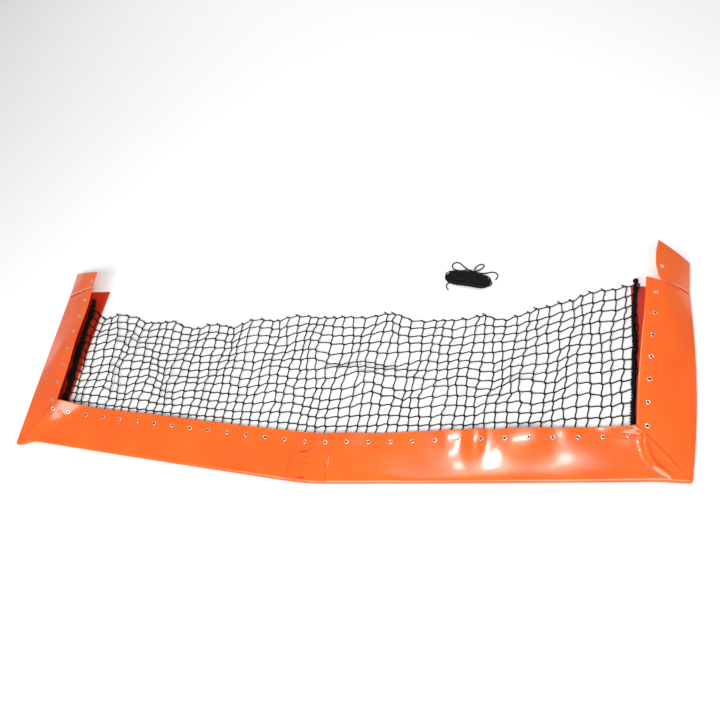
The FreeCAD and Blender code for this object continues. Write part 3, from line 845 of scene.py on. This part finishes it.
def along_front(offset, share):
    """Plan points at shares 0 to 1 of one offset's length, rounded at the bend, with their signed run."""
    left, right = corner(-1, offset), corner(1, offset)
    bend = np.array([offset * math.tan(FRONT_BEND / 2), offset])
    left_length, right_length = np.linalg.norm(bend - left), np.linalg.norm(right - bend)
    run = -left_length + share * (left_length + right_length)
    left_dir, right_dir = (left - bend) / left_length, (right - bend) / right_length
    straight = np.where(run[:, None] < 0, bend + left_dir * -run[:, None], bend + right_dir * run[:, None])
    start, end = bend + left_dir * BEND_SOFT, bend + right_dir * BEND_SOFT
    t = np.clip((run + BEND_SOFT) / (2 * BEND_SOFT), 0, 1)[:, None]
    curved = start * (1 - t) ** 2 + 2 * bend * t * (1 - t) + end * t**2
    plan = np.where((np.abs(run) > BEND_SOFT)[:, None], straight, curved)
    turn = smooth(run, -BEND_SOFT, BEND_SOFT)[:, None]
    inward = FRONT_IN[-1] * (1 - turn) + FRONT_IN[1] * turn
    drawn = np.polyval(NARROW_FIT, run) * MM * (1 - (offset - FOLD_AT) / LEAF_WIDTH)
    return plan + inward * drawn[:, None], run


def end_pull(plan, height, run, side, offset, upper):
    """Draws a row's end to the arm, fading away from the corner."""
    end = 0 if side == -1 else -1
    reach = offset - FOLD_AXIS_AT
    at = mitre_along(side, reach)
    if upper:
        target = arm_leaf(side, [at], reach)[0] + [0, 0, 1.1 * MM]
    else:
        target = np.append(arm_ground(side, [at], reach)[0], height[end])
    shift = target - np.append(plan[end], height[end])
    gap = np.abs(run - run[end])
    fade = 1 - smooth(gap, 0.0, PULL_FADE)
    seam = SEAM_RIDGE[side] * bump(gap, 0.004, 0.007) * smooth(reach, 0.01, 0.06) if upper else 0 * gap
    return plan + fade[:, None] * shift[:2], height + fade * shift[2] + seam


def front_section():
    """The folded sheet's section from the lower lip round to the upper lip: offset, height, part."""
    radius = FOLD_RADIUS - VINYL / 2
    rows = [(t, VINYL / 2, "lower") for t in np.linspace(LIP_AT, FOLD_AXIS_AT, 14)]
    for angle in np.linspace(0, math.pi, 11)[1:-1]:
        rows.append((FOLD_AXIS_AT - radius * math.sin(angle), FOLD_RADIUS - radius * math.cos(angle), "fold"))
    return rows + [(t, 0.0, "upper") for t in np.linspace(FOLD_AXIS_AT, LIP_AT, 50)]


def front_vinyl():
    middle, right_end = np.linspace(0.08, 0.90, 310), np.linspace(0.90, 1, 90)
    share = np.concatenate([np.linspace(0, 0.08, 40), middle[1:], right_end[1:]])
    rows = []
    for offset, height, part in front_section():
        plan, run = along_front(offset, share)
        if part == "upper":
            height = front_height(run, offset) - VINYL / 2
        elif part == "fold":
            height = np.full(len(run), height) + 0.15 * MM * np.sin(run / 0.05)
        else:
            height = np.full(len(run), height)
        for side in (-1, 1):
            plan, height = end_pull(plan, height, run, side, offset, part == "upper")
        rows.append(np.column_stack([plan, height]))
    return sheet_solid("front_skirt", np.array(rows), VINYL, VINYL_LOOK)


front_skirt = front_vinyl()
front_surface = surface_of(front_skirt)
print("front skirt", len(front_skirt.data.polygons), "faces")


# %% [markdown]
# ## Arms and end tabs
# Each arm is a flat lower leaf with its fold turned up, and an upper leaf that opens from the corner. The end
# tab starts at the leaf's end and lies almost in line with it, with a slanted end.

# %% Arm leaves
def arm_lower(side):
    steps = np.linspace(0, 1, 110)
    radius = FOLD_RADIUS - VINYL / 2
    section = [(reach, VINYL / 2) for reach in np.linspace(LEAF_REACH, 0, 16)]
    for angle in np.linspace(0, math.radians(135), 9)[1:]:
        section.append((-radius * math.sin(angle), FOLD_RADIUS - radius * math.cos(angle)))
    rows = []
    for reach, height in section:
        start = mitre_along(side, max(reach, 0)) + 0.8 * MM
        along = start + (ARM_LENGTH - start) * steps
        rows.append(np.column_stack([arm_ground(side, along, reach), np.full(len(steps), height)]))
    grid = np.array(rows)
    # The whole lower leaf and its turned-up fold use the darker red, painted shade of the sleeve's inside.
    return sheet_solid(SIDES[side] + "_lower_skirt", grid if side == -1 else grid[:, ::-1], VINYL, SLEEVE_SHADE_LOOK)


def arm_upper(side):
    steps = np.linspace(0, 1, 200)
    rows = []
    for angle in np.linspace(WRAP, 0, 7)[:-1]:
        start = mitre_along(side, 0) - 1 * MM
        rows.append(arm_wrap(side, start + (FLAP_END - start) * steps, angle))
    for reach in np.linspace(0, LEAF_REACH, 46):
        start = mitre_along(side, reach) - 3 * MM
        rows.append(arm_leaf(side, start + (FLAP_END - start) * steps, reach))
    grid = np.array(rows)
    return sheet_solid(SIDES[side] + "_flap_skirt", grid if side == -1 else grid[:, ::-1], VINYL, VINYL_LOOK)


# %% End tabs
TAB_INNER = {1: 134 * MM, -1: 66 * MM}
TAB_OUTER = {1: 108 * MM, -1: 103 * MM}
TAB_FOOT = {1: 112 * MM, -1: 150 * MM}
TAB_WIDTH = {1: 124 * MM, -1: 150 * MM}
TAB_BELLY = {1: 9 * MM, -1: 1 * MM}
TAB_EYELET_OUT = {1: 48 * MM, -1: 34 * MM}
TAB_EYELET_EDGE = 16 * MM
TAB_LIFT = math.radians(-3)
TAB_CURL = 10 * MM
CREASE_DENT = 2.2 * MM
TAB_HOLLOW = 3 * MM


def crease_frame(side, reach):
    """A point on the leaf's end, and the directions that the tab takes from it."""
    point = arm_leaf(side, [FLAP_END], reach)[0]
    low, high = arm_leaf(side, [FLAP_END], 0)[0], arm_leaf(side, [FLAP_END], TAB_FOOT[side])[0]
    across = (high - low) / np.linalg.norm(high - low)
    along = np.append(ARM_DIR[side], 0.0)
    up = np.cross(along, across) * (-1 if side == 1 else 1)
    flat = low + across * reach
    return point, flat, along, up / np.linalg.norm(up)


def tab_point(side, reach, out):
    """Middle point of the tab: reach across the leaf, out beyond the crease."""
    point, flat, along, up = crease_frame(side, reach)
    eased = smooth(out, 0.0, 0.07)
    foot = point * (1 - eased) + flat * eased
    bend = TAB_LIFT * smooth(out, 0.0, TAB_CURL)
    across = math.sin(math.pi * min(max(reach / TAB_WIDTH[side], 0), 1))
    dent = -CREASE_DENT * bump(out, 0.0, 0.006) - TAB_HOLLOW * across * eased
    return foot + along * out * math.cos(bend) + up * (out * math.sin(bend) + dent)


def tab_sheet(side):
    rows = []
    for u in np.linspace(0, 1, 30):
        row = []
        length = TAB_OUTER[side] + (TAB_INNER[side] - TAB_OUTER[side]) * u
        for v in np.linspace(0, 1, 40):
            inner = TAB_FOOT[side] + (TAB_WIDTH[side] - TAB_FOOT[side]) * v
            swell = TAB_BELLY[side] + (TAB_WIDTH[side] - TAB_FOOT[side]) / 2
            inner += swell * 4 * v * (1 - v) * (1 - 0.3 * v)
            row.append(tab_point(side, inner * u, v * length))
        rows.append(row)
    grid = np.array(rows)
    return sheet_solid(SIDES[side] + "_tab_skirt", grid if side == -1 else grid[:, ::-1], VINYL, VINYL_LOOK)


ARM_SHEETS = {s: {"lower": arm_lower(s), "upper": arm_upper(s), "tab": tab_sheet(s)} for s in SIDES}
for s in SIDES:
    print(SIDES[s], {k: len(v.data.polygons) for k, v in ARM_SHEETS[s].items()})

# %% [markdown]
# ## Eyelets
# Punched nickel eyelets line the upper leaves. A real eyelet is a rolled flange, a barrel through the leaf
# and a flattened washer at the back, so its section is spun once and copied. The leaf is cut through under
# each one, so that the inside of the sleeve shows through the hole: in real shadow, and on the arms also
# painted a darker red as shade.

# %% Eyelet shape and places
EYELET_SECTION = np.array([
    (3.25, -1.1), (3.25, 0.35), (3.4, 0.75), (3.8, 1.1), (4.5, 1.3), (5.3, 1.25), (6.1, 0.95), (6.5, 0.5),
    (6.3, 0.12), (5.2, 0.05), (4.2, 0.0), (4.15, -1.05), (5.0, -1.1), (5.8, -1.2), (5.8, -1.6), (4.4, -1.7),
    (3.5, -1.5),
]) * MM


def eyelet_shape():
    count = 26
    angles = np.linspace(0, 2 * math.pi, count, endpoint=False)
    points = [(r * math.cos(a), r * math.sin(a), z) for a in angles for r, z in EYELET_SECTION]
    size = len(EYELET_SECTION)
    faces = []
    for i in range(count):
        for j in range(size):
            k = (j + 1) % size
            n = (i + 1) % count
            faces.append((i * size + j, n * size + j, n * size + k, i * size + k))
    shape = outward(mesh_object("eyelet", points, faces, METAL_LOOK))
    bpy.context.scene.collection.objects.unlink(shape)
    return shape


def front_eyelet_places():
    places = []
    for index in range(FRONT_EYELETS):
        run = index * PITCH - LEFT_RUN + (FIRST_SHIFT if index == 0 else 0)
        plan = front_point(1, run, 0) if run >= 0 else front_point(-1, -run, 0)
        place, normal = drop(front_surface, *plan)
        places.append((np.array(place), np.array(normal)))
    return places


def arm_normal(side, along, reach):
    step = 4 * MM
    d_along = arm_leaf(side, [along + step], reach)[0] - arm_leaf(side, [along - step], reach)[0]
    d_reach = arm_leaf(side, [along], reach + step)[0] - arm_leaf(side, [along], reach - step)[0]
    normal = np.cross(d_along, d_reach) * side
    return normal / np.linalg.norm(normal)


def arm_eyelet_places(side):
    places = []
    for index in range(ARM_EYELETS):
        along = FIRST_ARM_EYELET + index * PITCH
        normal = arm_normal(side, along, -FOLD_AXIS_AT)
        places.append((arm_leaf(side, [along], -FOLD_AXIS_AT)[0] + normal * VINYL / 2, normal))
    return places


def tab_eyelet_place(side):
    out = TAB_EYELET_OUT[side]
    reach = TAB_WIDTH[side] - TAB_EYELET_EDGE
    step = 2 * MM
    d_out = tab_point(side, reach, out + step) - tab_point(side, reach, out - step)
    d_reach = tab_point(side, reach + step, out) - tab_point(side, reach - step, out)
    normal = np.cross(d_out, d_reach) * side
    normal /= np.linalg.norm(normal)
    return [(tab_point(side, reach, out) + normal * VINYL / 2, normal)]


# %% Punching the leaves and setting the eyelets
PUNCH_RADIUS, PUNCH_DEPTH = 4.25 * MM, 7 * MM


def punched(piece, places):
    """Cuts a round hole through a sheet at each place."""
    work = bmesh.new()
    for place, normal in places:
        turn = Vector(normal).to_track_quat("Z", "Y").to_matrix().to_4x4()
        bmesh.ops.create_cone(
            work, cap_ends=True, segments=16, radius1=PUNCH_RADIUS, radius2=PUNCH_RADIUS, depth=PUNCH_DEPTH,
            matrix=Matrix.Translation(Vector(place)) @ turn,
        )
    mesh = bpy.data.meshes.new("punch")
    work.to_mesh(mesh)
    work.free()
    cutter = bpy.data.objects.new("punch", mesh)
    bpy.context.scene.collection.objects.link(cutter)
    modifier = piece.modifiers.new("punch", "BOOLEAN")
    modifier.operation = "DIFFERENCE"
    modifier.solver = "EXACT"
    modifier.object = cutter
    bpy.context.view_layer.update()
    result = bpy.data.meshes.new_from_object(piece.evaluated_get(bpy.context.evaluated_depsgraph_get()))
    piece.modifiers.clear()
    piece.data = result
    bpy.data.objects.remove(cutter)
    result.polygons.foreach_set("use_smooth", [True] * len(result.polygons))


def set_eyelets(name, places):
    turns = [turn_to(normal) for _, normal in places]
    return copies(name, EYELET, [place for place, _ in places], turns, METAL_LOOK)


EYELET = eyelet_shape()
FRONT_PLACES = front_eyelet_places()
punched(front_skirt, FRONT_PLACES)
front_eyelets = set_eyelets("front_eyelet_row", FRONT_PLACES)
ARM_EYELET_PIECES = {}
for s in SIDES:
    arm_places, tab_places = arm_eyelet_places(s), tab_eyelet_place(s)
    punched(ARM_SHEETS[s]["upper"], arm_places)
    punched(ARM_SHEETS[s]["tab"], tab_places)
    ARM_EYELET_PIECES[s] = (
        set_eyelets(SIDES[s] + "_eyelet_column", arm_places),
        set_eyelets(SIDES[s] + "_tab_ring", tab_places),
    )
print("eyelets", len(FRONT_PLACES), "front,", ARM_EYELETS, "on each arm, 1 on each tab")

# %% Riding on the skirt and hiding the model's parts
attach(front_skirt, "skirt")
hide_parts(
    "front_lower_leaf", "front_fold", "front_upper_leaf",
    "right_corner_pleat", "right_corner_tuck", "left_corner_pleat", "left_corner_tuck",
)
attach(front_eyelets, "skirt")
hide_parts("front_eyelets")
for s in SIDES:
    side_name = SIDES[s]
    lower, upper, tab = (ARM_SHEETS[s][k] for k in ("lower", "upper", "tab"))
    column, ring = ARM_EYELET_PIECES[s]
    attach(lower, "skirt")
    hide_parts(side_name + "_lower_leaf", side_name + "_fold")
    for piece, target in ((upper, "_upper_leaf"), (column, "_eyelets")):
        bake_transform(piece)
        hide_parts(side_name + target)
    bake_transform(tab)
    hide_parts(side_name + "_tab")
    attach(ring, side_name + "_end_tab")
    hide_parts(side_name + "_tab_eyelet")

# %% [markdown]
# ## The net
# Square mesh, knotted at every crossing. A knotted twine never leaves its knot straight: each leg starts a
# little askew, so every bar of the mesh is a shallow S. The crossings are a grid that is pushed about by slow
# waves, gathered into two folds, and fitted to the net's real outline; the twine then runs from knot to knot.

# %% Where the net's knots lie
NET_COLUMNS, NET_ROWS = 58, 14
NET_START = -8 * MM
NET_SHORT = {1: 14 * MM, -1: 22 * MM}
KNOT_SHAKE = 2.3 * MM
TWINE = 3.7 * MM
TOP_EDGE = (
    (-0.905, 0.545), (-0.856, 0.508), (-0.714, 0.497), (-0.590, 0.462), (-0.451, 0.433), (-0.25, 0.447),
    (-0.095, 0.451), (0.08, 0.444), (0.242, 0.429), (0.40, 0.408), (0.554, 0.402), (0.67, 0.420),
    (0.794, 0.460), (0.880, 0.478), (0.962, 0.492),
)
GATHERS = (
    ((0.011, 0.264), (0.299, 0.232), 34 * MM, 0.93),
    ((0.584, 0.195), (0.690, 0.207), 26 * MM, 0.80),
    ((0.690, 0.340), (0.745, 0.300), 26 * MM, 0.75),
    ((-0.80, 0.405), (-0.70, 0.420), 24 * MM, 0.70),
)
net_rng = np.random.default_rng(21)
NET_WAVES = [
    (net_rng.uniform(14, 46), net_rng.uniform(-30, 30), net_rng.uniform(0, 6.28), net_rng.uniform(0, 6.28))
    for _ in range(9)
]


def net_outline():
    left_run = -(LEFT_RUN + COLUMN_GAP[-1] - NET_SHORT[-1])
    right_run = RIGHT_RUN + COLUMN_GAP[1] - NET_SHORT[1]
    share = np.linspace(0, 1, NET_COLUMNS + 1)
    runs = left_run + share * (right_run - left_run)
    bottom = np.array([front_point(1 if r >= 0 else -1, abs(r), NET_START) for r in runs])
    edge_x, edge_y = zip(*TOP_EDGE)
    top_x = edge_x[0] + share * (edge_x[-1] - edge_x[0])
    top = np.column_stack([top_x, np.interp(top_x, edge_x, edge_y)])
    return bottom, top


def gathered(points, start, end, reach, pull):
    """Draws points to a line, so that rows lie against each other there."""
    start, end = np.array(start), np.array(end)
    length = np.linalg.norm(end - start)
    ahead = (end - start) / length
    normal = np.array([-ahead[1], ahead[0]])
    along = (points - start) @ ahead
    off = (points - start) @ normal
    near = smooth(along, -0.02, 0.02) * (1 - smooth(along, length - 0.02, length + 0.02))
    amount = pull * np.exp(-((off / reach) ** 2)) * near
    return points - (off * amount)[..., None] * normal, amount


def net_knots():
    bottom, top = net_outline()
    rows = np.linspace(0, 1, NET_ROWS + 1)
    grid = bottom[None] + (top - bottom)[None] * rows[:, None, None]
    x, y = grid[..., 0], grid[..., 1]
    push = np.zeros(grid.shape)
    lift = np.zeros(x.shape)
    for kx, ky, a, b in NET_WAVES:
        push[..., 0] += 2.4 * MM * np.sin(kx * x + ky * y + a)
        push[..., 1] += 2.7 * MM * np.sin(kx * x * 0.9 - ky * y + b)
        lift += 0.9 * MM * np.sin(1.3 * kx * x + ky * y + b)
    free = smooth(rows, 0.05, 0.35)[:, None]
    shake = net_rng.normal(0, KNOT_SHAKE, grid.shape)
    grid = grid + push * free[..., None] + shake * (0.25 + 0.75 * free[..., None])
    pulled = np.zeros(x.shape)
    for start, end, reach, pull in GATHERS:
        grid, amount = gathered(grid, start, end, reach, pull)
        pulled = np.maximum(pulled, amount)
    height = 3.2 * MM + np.maximum(lift, 0) * 1.4 * free + 4 * MM * pulled * free
    height += net_rng.uniform(0, 0.6 * MM, x.shape)
    return np.concatenate([grid, height[..., None]], -1)


KNOTS = net_knots()


# %% Twine from knot to knot
def s_link(start, end, skew, steps):
    """A bar of the mesh that leaves and meets its knots askew."""
    chord = end - start
    length = np.linalg.norm(chord)
    ahead = chord / length
    side = np.array([-ahead[1], ahead[0], 0.0])
    lean = (ahead * math.cos(skew) + side * math.sin(skew)) * length
    t = np.linspace(0, 1, steps + 1)[:, None]
    h00, h10 = 2 * t**3 - 3 * t**2 + 1, t**3 - 2 * t**2 + t
    h01, h11 = -2 * t**3 + 3 * t**2, t**3 - t**2
    points = h00 * start + h10 * lean + h01 * end + h11 * lean
    points[:, 2] += 0.9 * MM * np.sin(math.pi * t[:, 0])
    return points


def twine_path(knots, rng, steps=6, base=0.58):
    parts = []
    for start, end in zip(knots[:-1], knots[1:]):
        parts.append(s_link(start, end, -base + rng.normal(0, 0.16), steps)[:-1])
    return np.concatenate(parts + [knots[-1:]])


def top_stub(knot, rng):
    """The cut end that stands out past the net's last row."""
    reach = rng.uniform(9, 16) * MM
    angle = math.radians(rng.uniform(138, 158))
    step = np.array([math.cos(angle), math.sin(angle), 0.12]) * reach
    return np.array([knot + step * k for k in (0.5, 1.0)])


def net_paths():
    rng = np.random.default_rng(5)
    paths = [twine_path(KNOTS[j], rng) for j in range(NET_ROWS + 1)]
    for i in range(NET_COLUMNS + 1):
        column = twine_path(KNOTS[:, i], rng, base=-0.50)
        paths.append(np.concatenate([column, top_stub(column[-1], rng)]))
    return paths


def knot_shape():
    """A small lumpy sheet-bend knot, slightly longer than wide."""
    work = bmesh.new()
    bmesh.ops.create_uvsphere(work, u_segments=8, v_segments=5, radius=1.0)
    for vertex in work.verts:
        angle = math.atan2(vertex.co.y, vertex.co.x)
        swell = 1 + 0.16 * math.cos(3 * angle + 4 * vertex.co.z)
        vertex.co.x *= swell * 1.18
        vertex.co.y *= swell
        vertex.co.z *= 0.86
    layer = work.loops.layers.uv.new("Strand")
    for face in work.faces:
        for loop in face.loops:
            place = loop.vert.co
            loop[layer].uv = (0.5 + math.atan2(place.y, place.x) / 6.2832, place.z * 3 * MM)
    mesh = bpy.data.meshes.new("knot")
    work.to_mesh(mesh)
    work.free()
    mesh.materials.append(TWINE_LOOK)
    return bpy.data.objects.new("knot", mesh)


net = strands("net", net_paths(), TWINE / 2, 6, TWINE_LOOK)
knot_places = KNOTS.reshape(-1, 3)
knot_rng = np.random.default_rng(9)
knot_turns = np.column_stack([
    knot_rng.normal(0, 0.2, len(knot_places)), knot_rng.normal(0, 0.2, len(knot_places)),
    knot_rng.uniform(0.3, 1.1, len(knot_places)),
])
knot_sizes = np.repeat(knot_rng.uniform(2.5, 3.1, (len(knot_places), 1)) * MM, 3, axis=1)
net_knot_piece = copies("net_knots", knot_shape(), knot_places, knot_turns, TWINE_LOOK, knot_sizes)
print("net", len(net.data.polygons), "and", len(net_knot_piece.data.polygons), "faces")

# %% [markdown]
# ## Edge ropes and the bunched net beside them
# Laid rope runs down each arm inside the sleeve, with the net's last bars lashed round it. On the left the
# net has slid into the sleeve and lies in a tangle. Ropes are lobed strands with a twist; the lashing is thin
# twine wound round the rope's path.

# %% Ropes, lashing and bunched twine
ROPE = 8 * MM
ROPE_FROM = 10 * MM
ROPE_TO = {1: 505 * MM, -1: 446 * MM}
ROPE_STRANDS, STRAND_DEPTH, ROPE_TWIST = 3, 0.30, 420.0
LASHING = TWINE * 0.9
LASHING_PITCH = 9 * MM
LASHING_IN = 0.01
BUNCH = {1: (9, 7 * MM), -1: (22, 20 * MM)}  # loose bars, and how far they spread
BUNCH_SEED = 30
ROPE_INSET_AT = (0.0, 0.10, 0.25, 0.40, 0.50)
ROPE_INSET = {1: (-6, -4, 1, 8, 13), -1: (15, 22, 38, 46, 50)}


def rope_reach(side, along):
    """The rope's distance from the fold: beside the free edge near the right corner, deeper in on the left."""
    return LEAF_REACH - np.interp(along, ROPE_INSET_AT, ROPE_INSET[side]) * MM


def rope_path(side, steps=150):
    along = np.linspace(ROPE_FROM, ROPE_TO[side], steps)
    plan = np.array([arm_ground(side, [a], rope_reach(side, a))[0] for a in along])
    sway = 2.0 * MM * np.sin(along / 0.06 + side) + 1.2 * MM * np.sin(along / 0.027)
    plan = plan + ARM_IN[side] * sway[:, None]
    height = np.full(steps, 1.3 * MM + ROPE / 2) + 1.2 * MM * np.sin(along / 0.05) ** 2
    return np.column_stack([plan, height])


def wound(path, radius, pitch, start, stop):
    """A twine wound round part of a path."""
    run = np.concatenate([[0], np.cumsum(np.linalg.norm(np.diff(path, axis=0), axis=1))])
    at = np.arange(start, stop, pitch / 10)
    centre = np.column_stack([np.interp(at, run, path[:, k]) for k in range(3)])
    ahead = np.gradient(centre, axis=0)
    ahead /= np.linalg.norm(ahead, axis=1, keepdims=True)
    side = np.cross(ahead, [0, 0, 1.0])
    side /= np.linalg.norm(side, axis=1, keepdims=True)
    up = np.cross(side, ahead)
    angle = (2 * math.pi * (at - start) / pitch)[:, None]
    coil = centre + (side * np.cos(angle) + up * np.sin(angle)) * radius
    coil[:, 2] = np.maximum(coil[:, 2], 2.0 * MM)
    return coil


def rope_knot(path):
    """A stopper knot at the rope's free end: three tight turns over its tip."""
    end, ahead = path[-1], path[-1] - path[-4]
    ahead = ahead / np.linalg.norm(ahead)
    angle = np.linspace(0, 2 * math.pi * 3, 54)
    side = np.array([-ahead[1], ahead[0], 0.0])
    along = np.linspace(-4.5, 4.5, len(angle)) * MM
    radius = 4.6 * MM * np.sin(np.linspace(0.5, math.pi - 0.5, len(angle))) ** 0.5
    ring = side * np.cos(angle)[:, None] + np.array([0, 0, 1.0]) * np.sin(angle)[:, None]
    return end + ahead * along[:, None] + ring * radius[:, None] + np.array([0, 0, 4.2 * MM])


def bunch_paths(side, count, spread, seed):
    """Loose bars of the net that lie along the rope inside the sleeve."""
    rng = np.random.default_rng(seed)
    paths = []
    for _ in range(count):
        low, high = sorted(rng.uniform(0.02, 0.45, 2))
        if high - low < 0.12:
            high = min(low + 0.16, 0.455)
        along = np.arange(low, high, 6 * MM)
        beside = rng.uniform(-0.5, 0.7) * spread * 0.6
        sway = spread * (0.4 * np.sin(along / rng.uniform(0.010, 0.022) + rng.uniform(0, 6.28)))
        plan = np.array([arm_ground(side, [a], rope_reach(side, a) + beside)[0] for a in along])
        plan = plan + ARM_IN[side] * sway[:, None]
        height = (rng.uniform(4, 13) + 2.5 * np.sin(along / 0.017 + rng.uniform(0, 6.28))) * MM
        paths.append(np.column_stack([plan, np.maximum(height, 3 * MM)]))
    return paths


lashing = []
for s in SIDES:
    path = rope_path(s)
    laid = (ROPE_STRANDS, STRAND_DEPTH, ROPE_TWIST)
    rope = strands(SIDES[s] + "_rope", [path, rope_knot(path)], ROPE / 2, 18, ROPE_LOOK, *laid)
    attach(rope, "skirt")
    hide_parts(SIDES[s] + "_edge_rope")
    length = path_length(path)
    lashing.append(wound(path, ROPE / 2 + TWINE / 2, LASHING_PITCH, LASHING_IN, length - LASHING_IN))
    lashing += bunch_paths(s, *BUNCH[s], BUNCH_SEED + s)
edging = strands("net_edging", lashing, LASHING / 2, 6, TWINE_LOOK)
for piece in (net, net_knot_piece, edging):
    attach(piece, "skirt")
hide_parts("net")

# %% [markdown]
# ## Label patch
# A small blank pocket of the same vinyl, sewn round its edge and once across, with two bar tacks. The stitches
# are copies of one short thread with rounded ends, set on lines that follow the front run's surface.

# %% Patch and stitches
PATCH_SIZE = (128 * MM, 97 * MM)
PATCH_AT = np.array([-0.010, -0.068])
PATCH_TURN = -FRONT_BEND / 2
PATCH_THICK = 0.6 * MM
SEAM_IN = 4 * MM
DIVIDER = 0.48
BARS = ((-18 * MM, 38 * MM), (-14 * MM, -40 * MM))
STITCH = 4.2 * MM


def patch_plan(x, y):
    c, s = math.cos(PATCH_TURN), math.sin(PATCH_TURN)
    return PATCH_AT + np.array([c * x - s * y, s * x + c * y])


def patch_sheet():
    grid = []
    for y in np.linspace(-0.5, 0.5, 40) * PATCH_SIZE[1]:
        row = []
        for x in np.linspace(-0.5, 0.5, 52) * PATCH_SIZE[0]:
            plan = patch_plan(x, y)
            place, _ = drop(front_surface, *plan)
            edge = min(0.5 * PATCH_SIZE[0] - abs(x), 0.5 * PATCH_SIZE[1] - abs(y))
            belly = 1.0 * MM * smooth(edge, SEAM_IN, 0.03)
            row.append((*plan, place.z + 0.15 * MM + PATCH_THICK / 2 + belly))
        grid.append(row)
    return sheet_solid("label_sheet", np.array(grid)[::-1], PATCH_THICK, LABEL_LOOK)


def stitch_shape():
    work = bmesh.new()
    bmesh.ops.create_uvsphere(work, u_segments=8, v_segments=4, radius=1.0)
    bmesh.ops.scale(work, verts=work.verts, vec=(1.75 * MM, 0.55 * MM, 0.42 * MM))
    mesh = bpy.data.meshes.new("stitch")
    work.to_mesh(mesh)
    work.free()
    mesh.materials.append(THREAD_LOOK)
    return bpy.data.objects.new("stitch", mesh)


def seam_points():
    """Places and headings of the stitches round the patch and across it."""
    half_x, half_y = PATCH_SIZE[0] / 2 - SEAM_IN, PATCH_SIZE[1] / 2 - SEAM_IN
    middle = -PATCH_SIZE[1] / 2 + PATCH_SIZE[1] * (1 - DIVIDER)
    lines = [
        ((-half_x, -half_y), (half_x, -half_y)), ((half_x, -half_y), (half_x, half_y)),
        ((half_x, half_y), (-half_x, half_y)), ((-half_x, half_y), (-half_x, -half_y)),
        ((-half_x, middle), (half_x, middle)),
    ]
    points = []
    for (x0, y0), (x1, y1) in lines:
        length = math.hypot(x1 - x0, y1 - y0)
        heading = math.atan2(y1 - y0, x1 - x0)
        for k in range(int(length / STITCH)):
            t = (k + 0.5) * STITCH / length
            points.append((x0 + (x1 - x0) * t, y0 + (y1 - y0) * t, heading))
    return points


def bar_points():
    points = []
    for x, y in BARS:
        for k in range(24):
            points.append((x - 12 * MM + k * 1.0 * MM, y, math.radians(80 + 14 * (k % 2))))
    return points


def stitched(name, points, surface):
    places, turns = [], []
    for x, y, heading in points:
        place, normal = drop(surface, *patch_plan(x, y))
        places.append(place + normal * 0.1 * MM)
        ahead = Vector((math.cos(heading + PATCH_TURN), math.sin(heading + PATCH_TURN), 0))
        ahead = (ahead - normal * ahead.dot(normal)).normalized()
        side = normal.cross(ahead)
        turns.append(tuple(Matrix((ahead, side, normal)).transposed().to_euler("XYZ")))
    return copies(name, STITCH_SHAPE, places, turns, THREAD_LOOK)


label = patch_sheet()
label_surface = surface_of(label)
STITCH_SHAPE = stitch_shape()
label_seam = stitched("label_stitches", seam_points(), label_surface)
label_bars = stitched("label_bars", bar_points(), label_surface)
for piece, target, slot in (
    (label, "label_patch", "label"),
    (label_seam, "label_seams", "stitching"),
    (label_bars, "label_bar_tacks", "stitching"),
):
    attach(piece, "skirt")
    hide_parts(target)

# %% [markdown]
# ## Studio
# A white floor, a dim even surround and two broad lights from the front. One narrow softbox is mirrored in the
# right half of the front run, where the bulges break it up; a wide one lights the back.

# %% Studio
def softbox(name, place, aim, size, power):
    data = bpy.data.lights.new(name, "AREA")
    data.shape = "RECTANGLE"
    data.size, data.size_y = size
    data.energy = power
    light = bpy.data.objects.new(name, data)
    bpy.context.scene.collection.objects.link(light)
    light.location = place
    light.rotation_euler = (Vector(aim) - Vector(place)).to_track_quat("-Z", "Y").to_euler()


# each: name, place, where it points, size and power
LIGHTS = (
    ("mirror box", (0.47, 0.66, 2.05), (0.55, -0.03, 0.0), (0.62, 0.12), 13.0),
    ("front left", (-1.2, -2.5, 2.9), (0.0, 0.1, 0.0), (2.4, 1.8), 104.0),
    ("front right", (1.2, -2.4, 2.9), (0.1, 0.2, 0.0), (2.0, 1.8), 76.0),
    ("back", (-0.2, 3.6, 2.2), (0.0, 0.2, 0.0), (3.0, 1.2), 40.0),
)
FLOOR_REACH = 14.0


def studio():
    world = bpy.data.worlds.new("studio")
    world.use_nodes = True
    back = world.node_tree.nodes["Background"]
    back.inputs["Color"].default_value = (1.0, 1.0, 1.0, 1)
    back.inputs["Strength"].default_value = 0.28
    bpy.context.scene.world = world
    bpy.context.scene.view_settings.view_transform = "Standard"
    for light in LIGHTS:
        softbox(*light)
    floor_mesh = bpy.data.meshes.new("floor")
    corners = [(x * FLOOR_REACH, y * FLOOR_REACH, 0) for x, y in ((-1, -1), (1, -1), (1, 1), (-1, 1))]
    floor_mesh.from_pydata(corners, [], [(0, 1, 2, 3)])
    material, _, shader = new_material("Pale floor")
    shader.inputs["Base Color"].default_value = (0.96, 0.96, 0.96, 1)
    shader.inputs["Roughness"].default_value = 0.9
    shader.inputs["Specular IOR Level"].default_value = 0.1
    floor_mesh.materials.append(material)
    floor = bpy.data.objects.new("floor", floor_mesh)
    floor.location.z = -0.0008
    bpy.context.scene.collection.objects.link(floor)


studio()
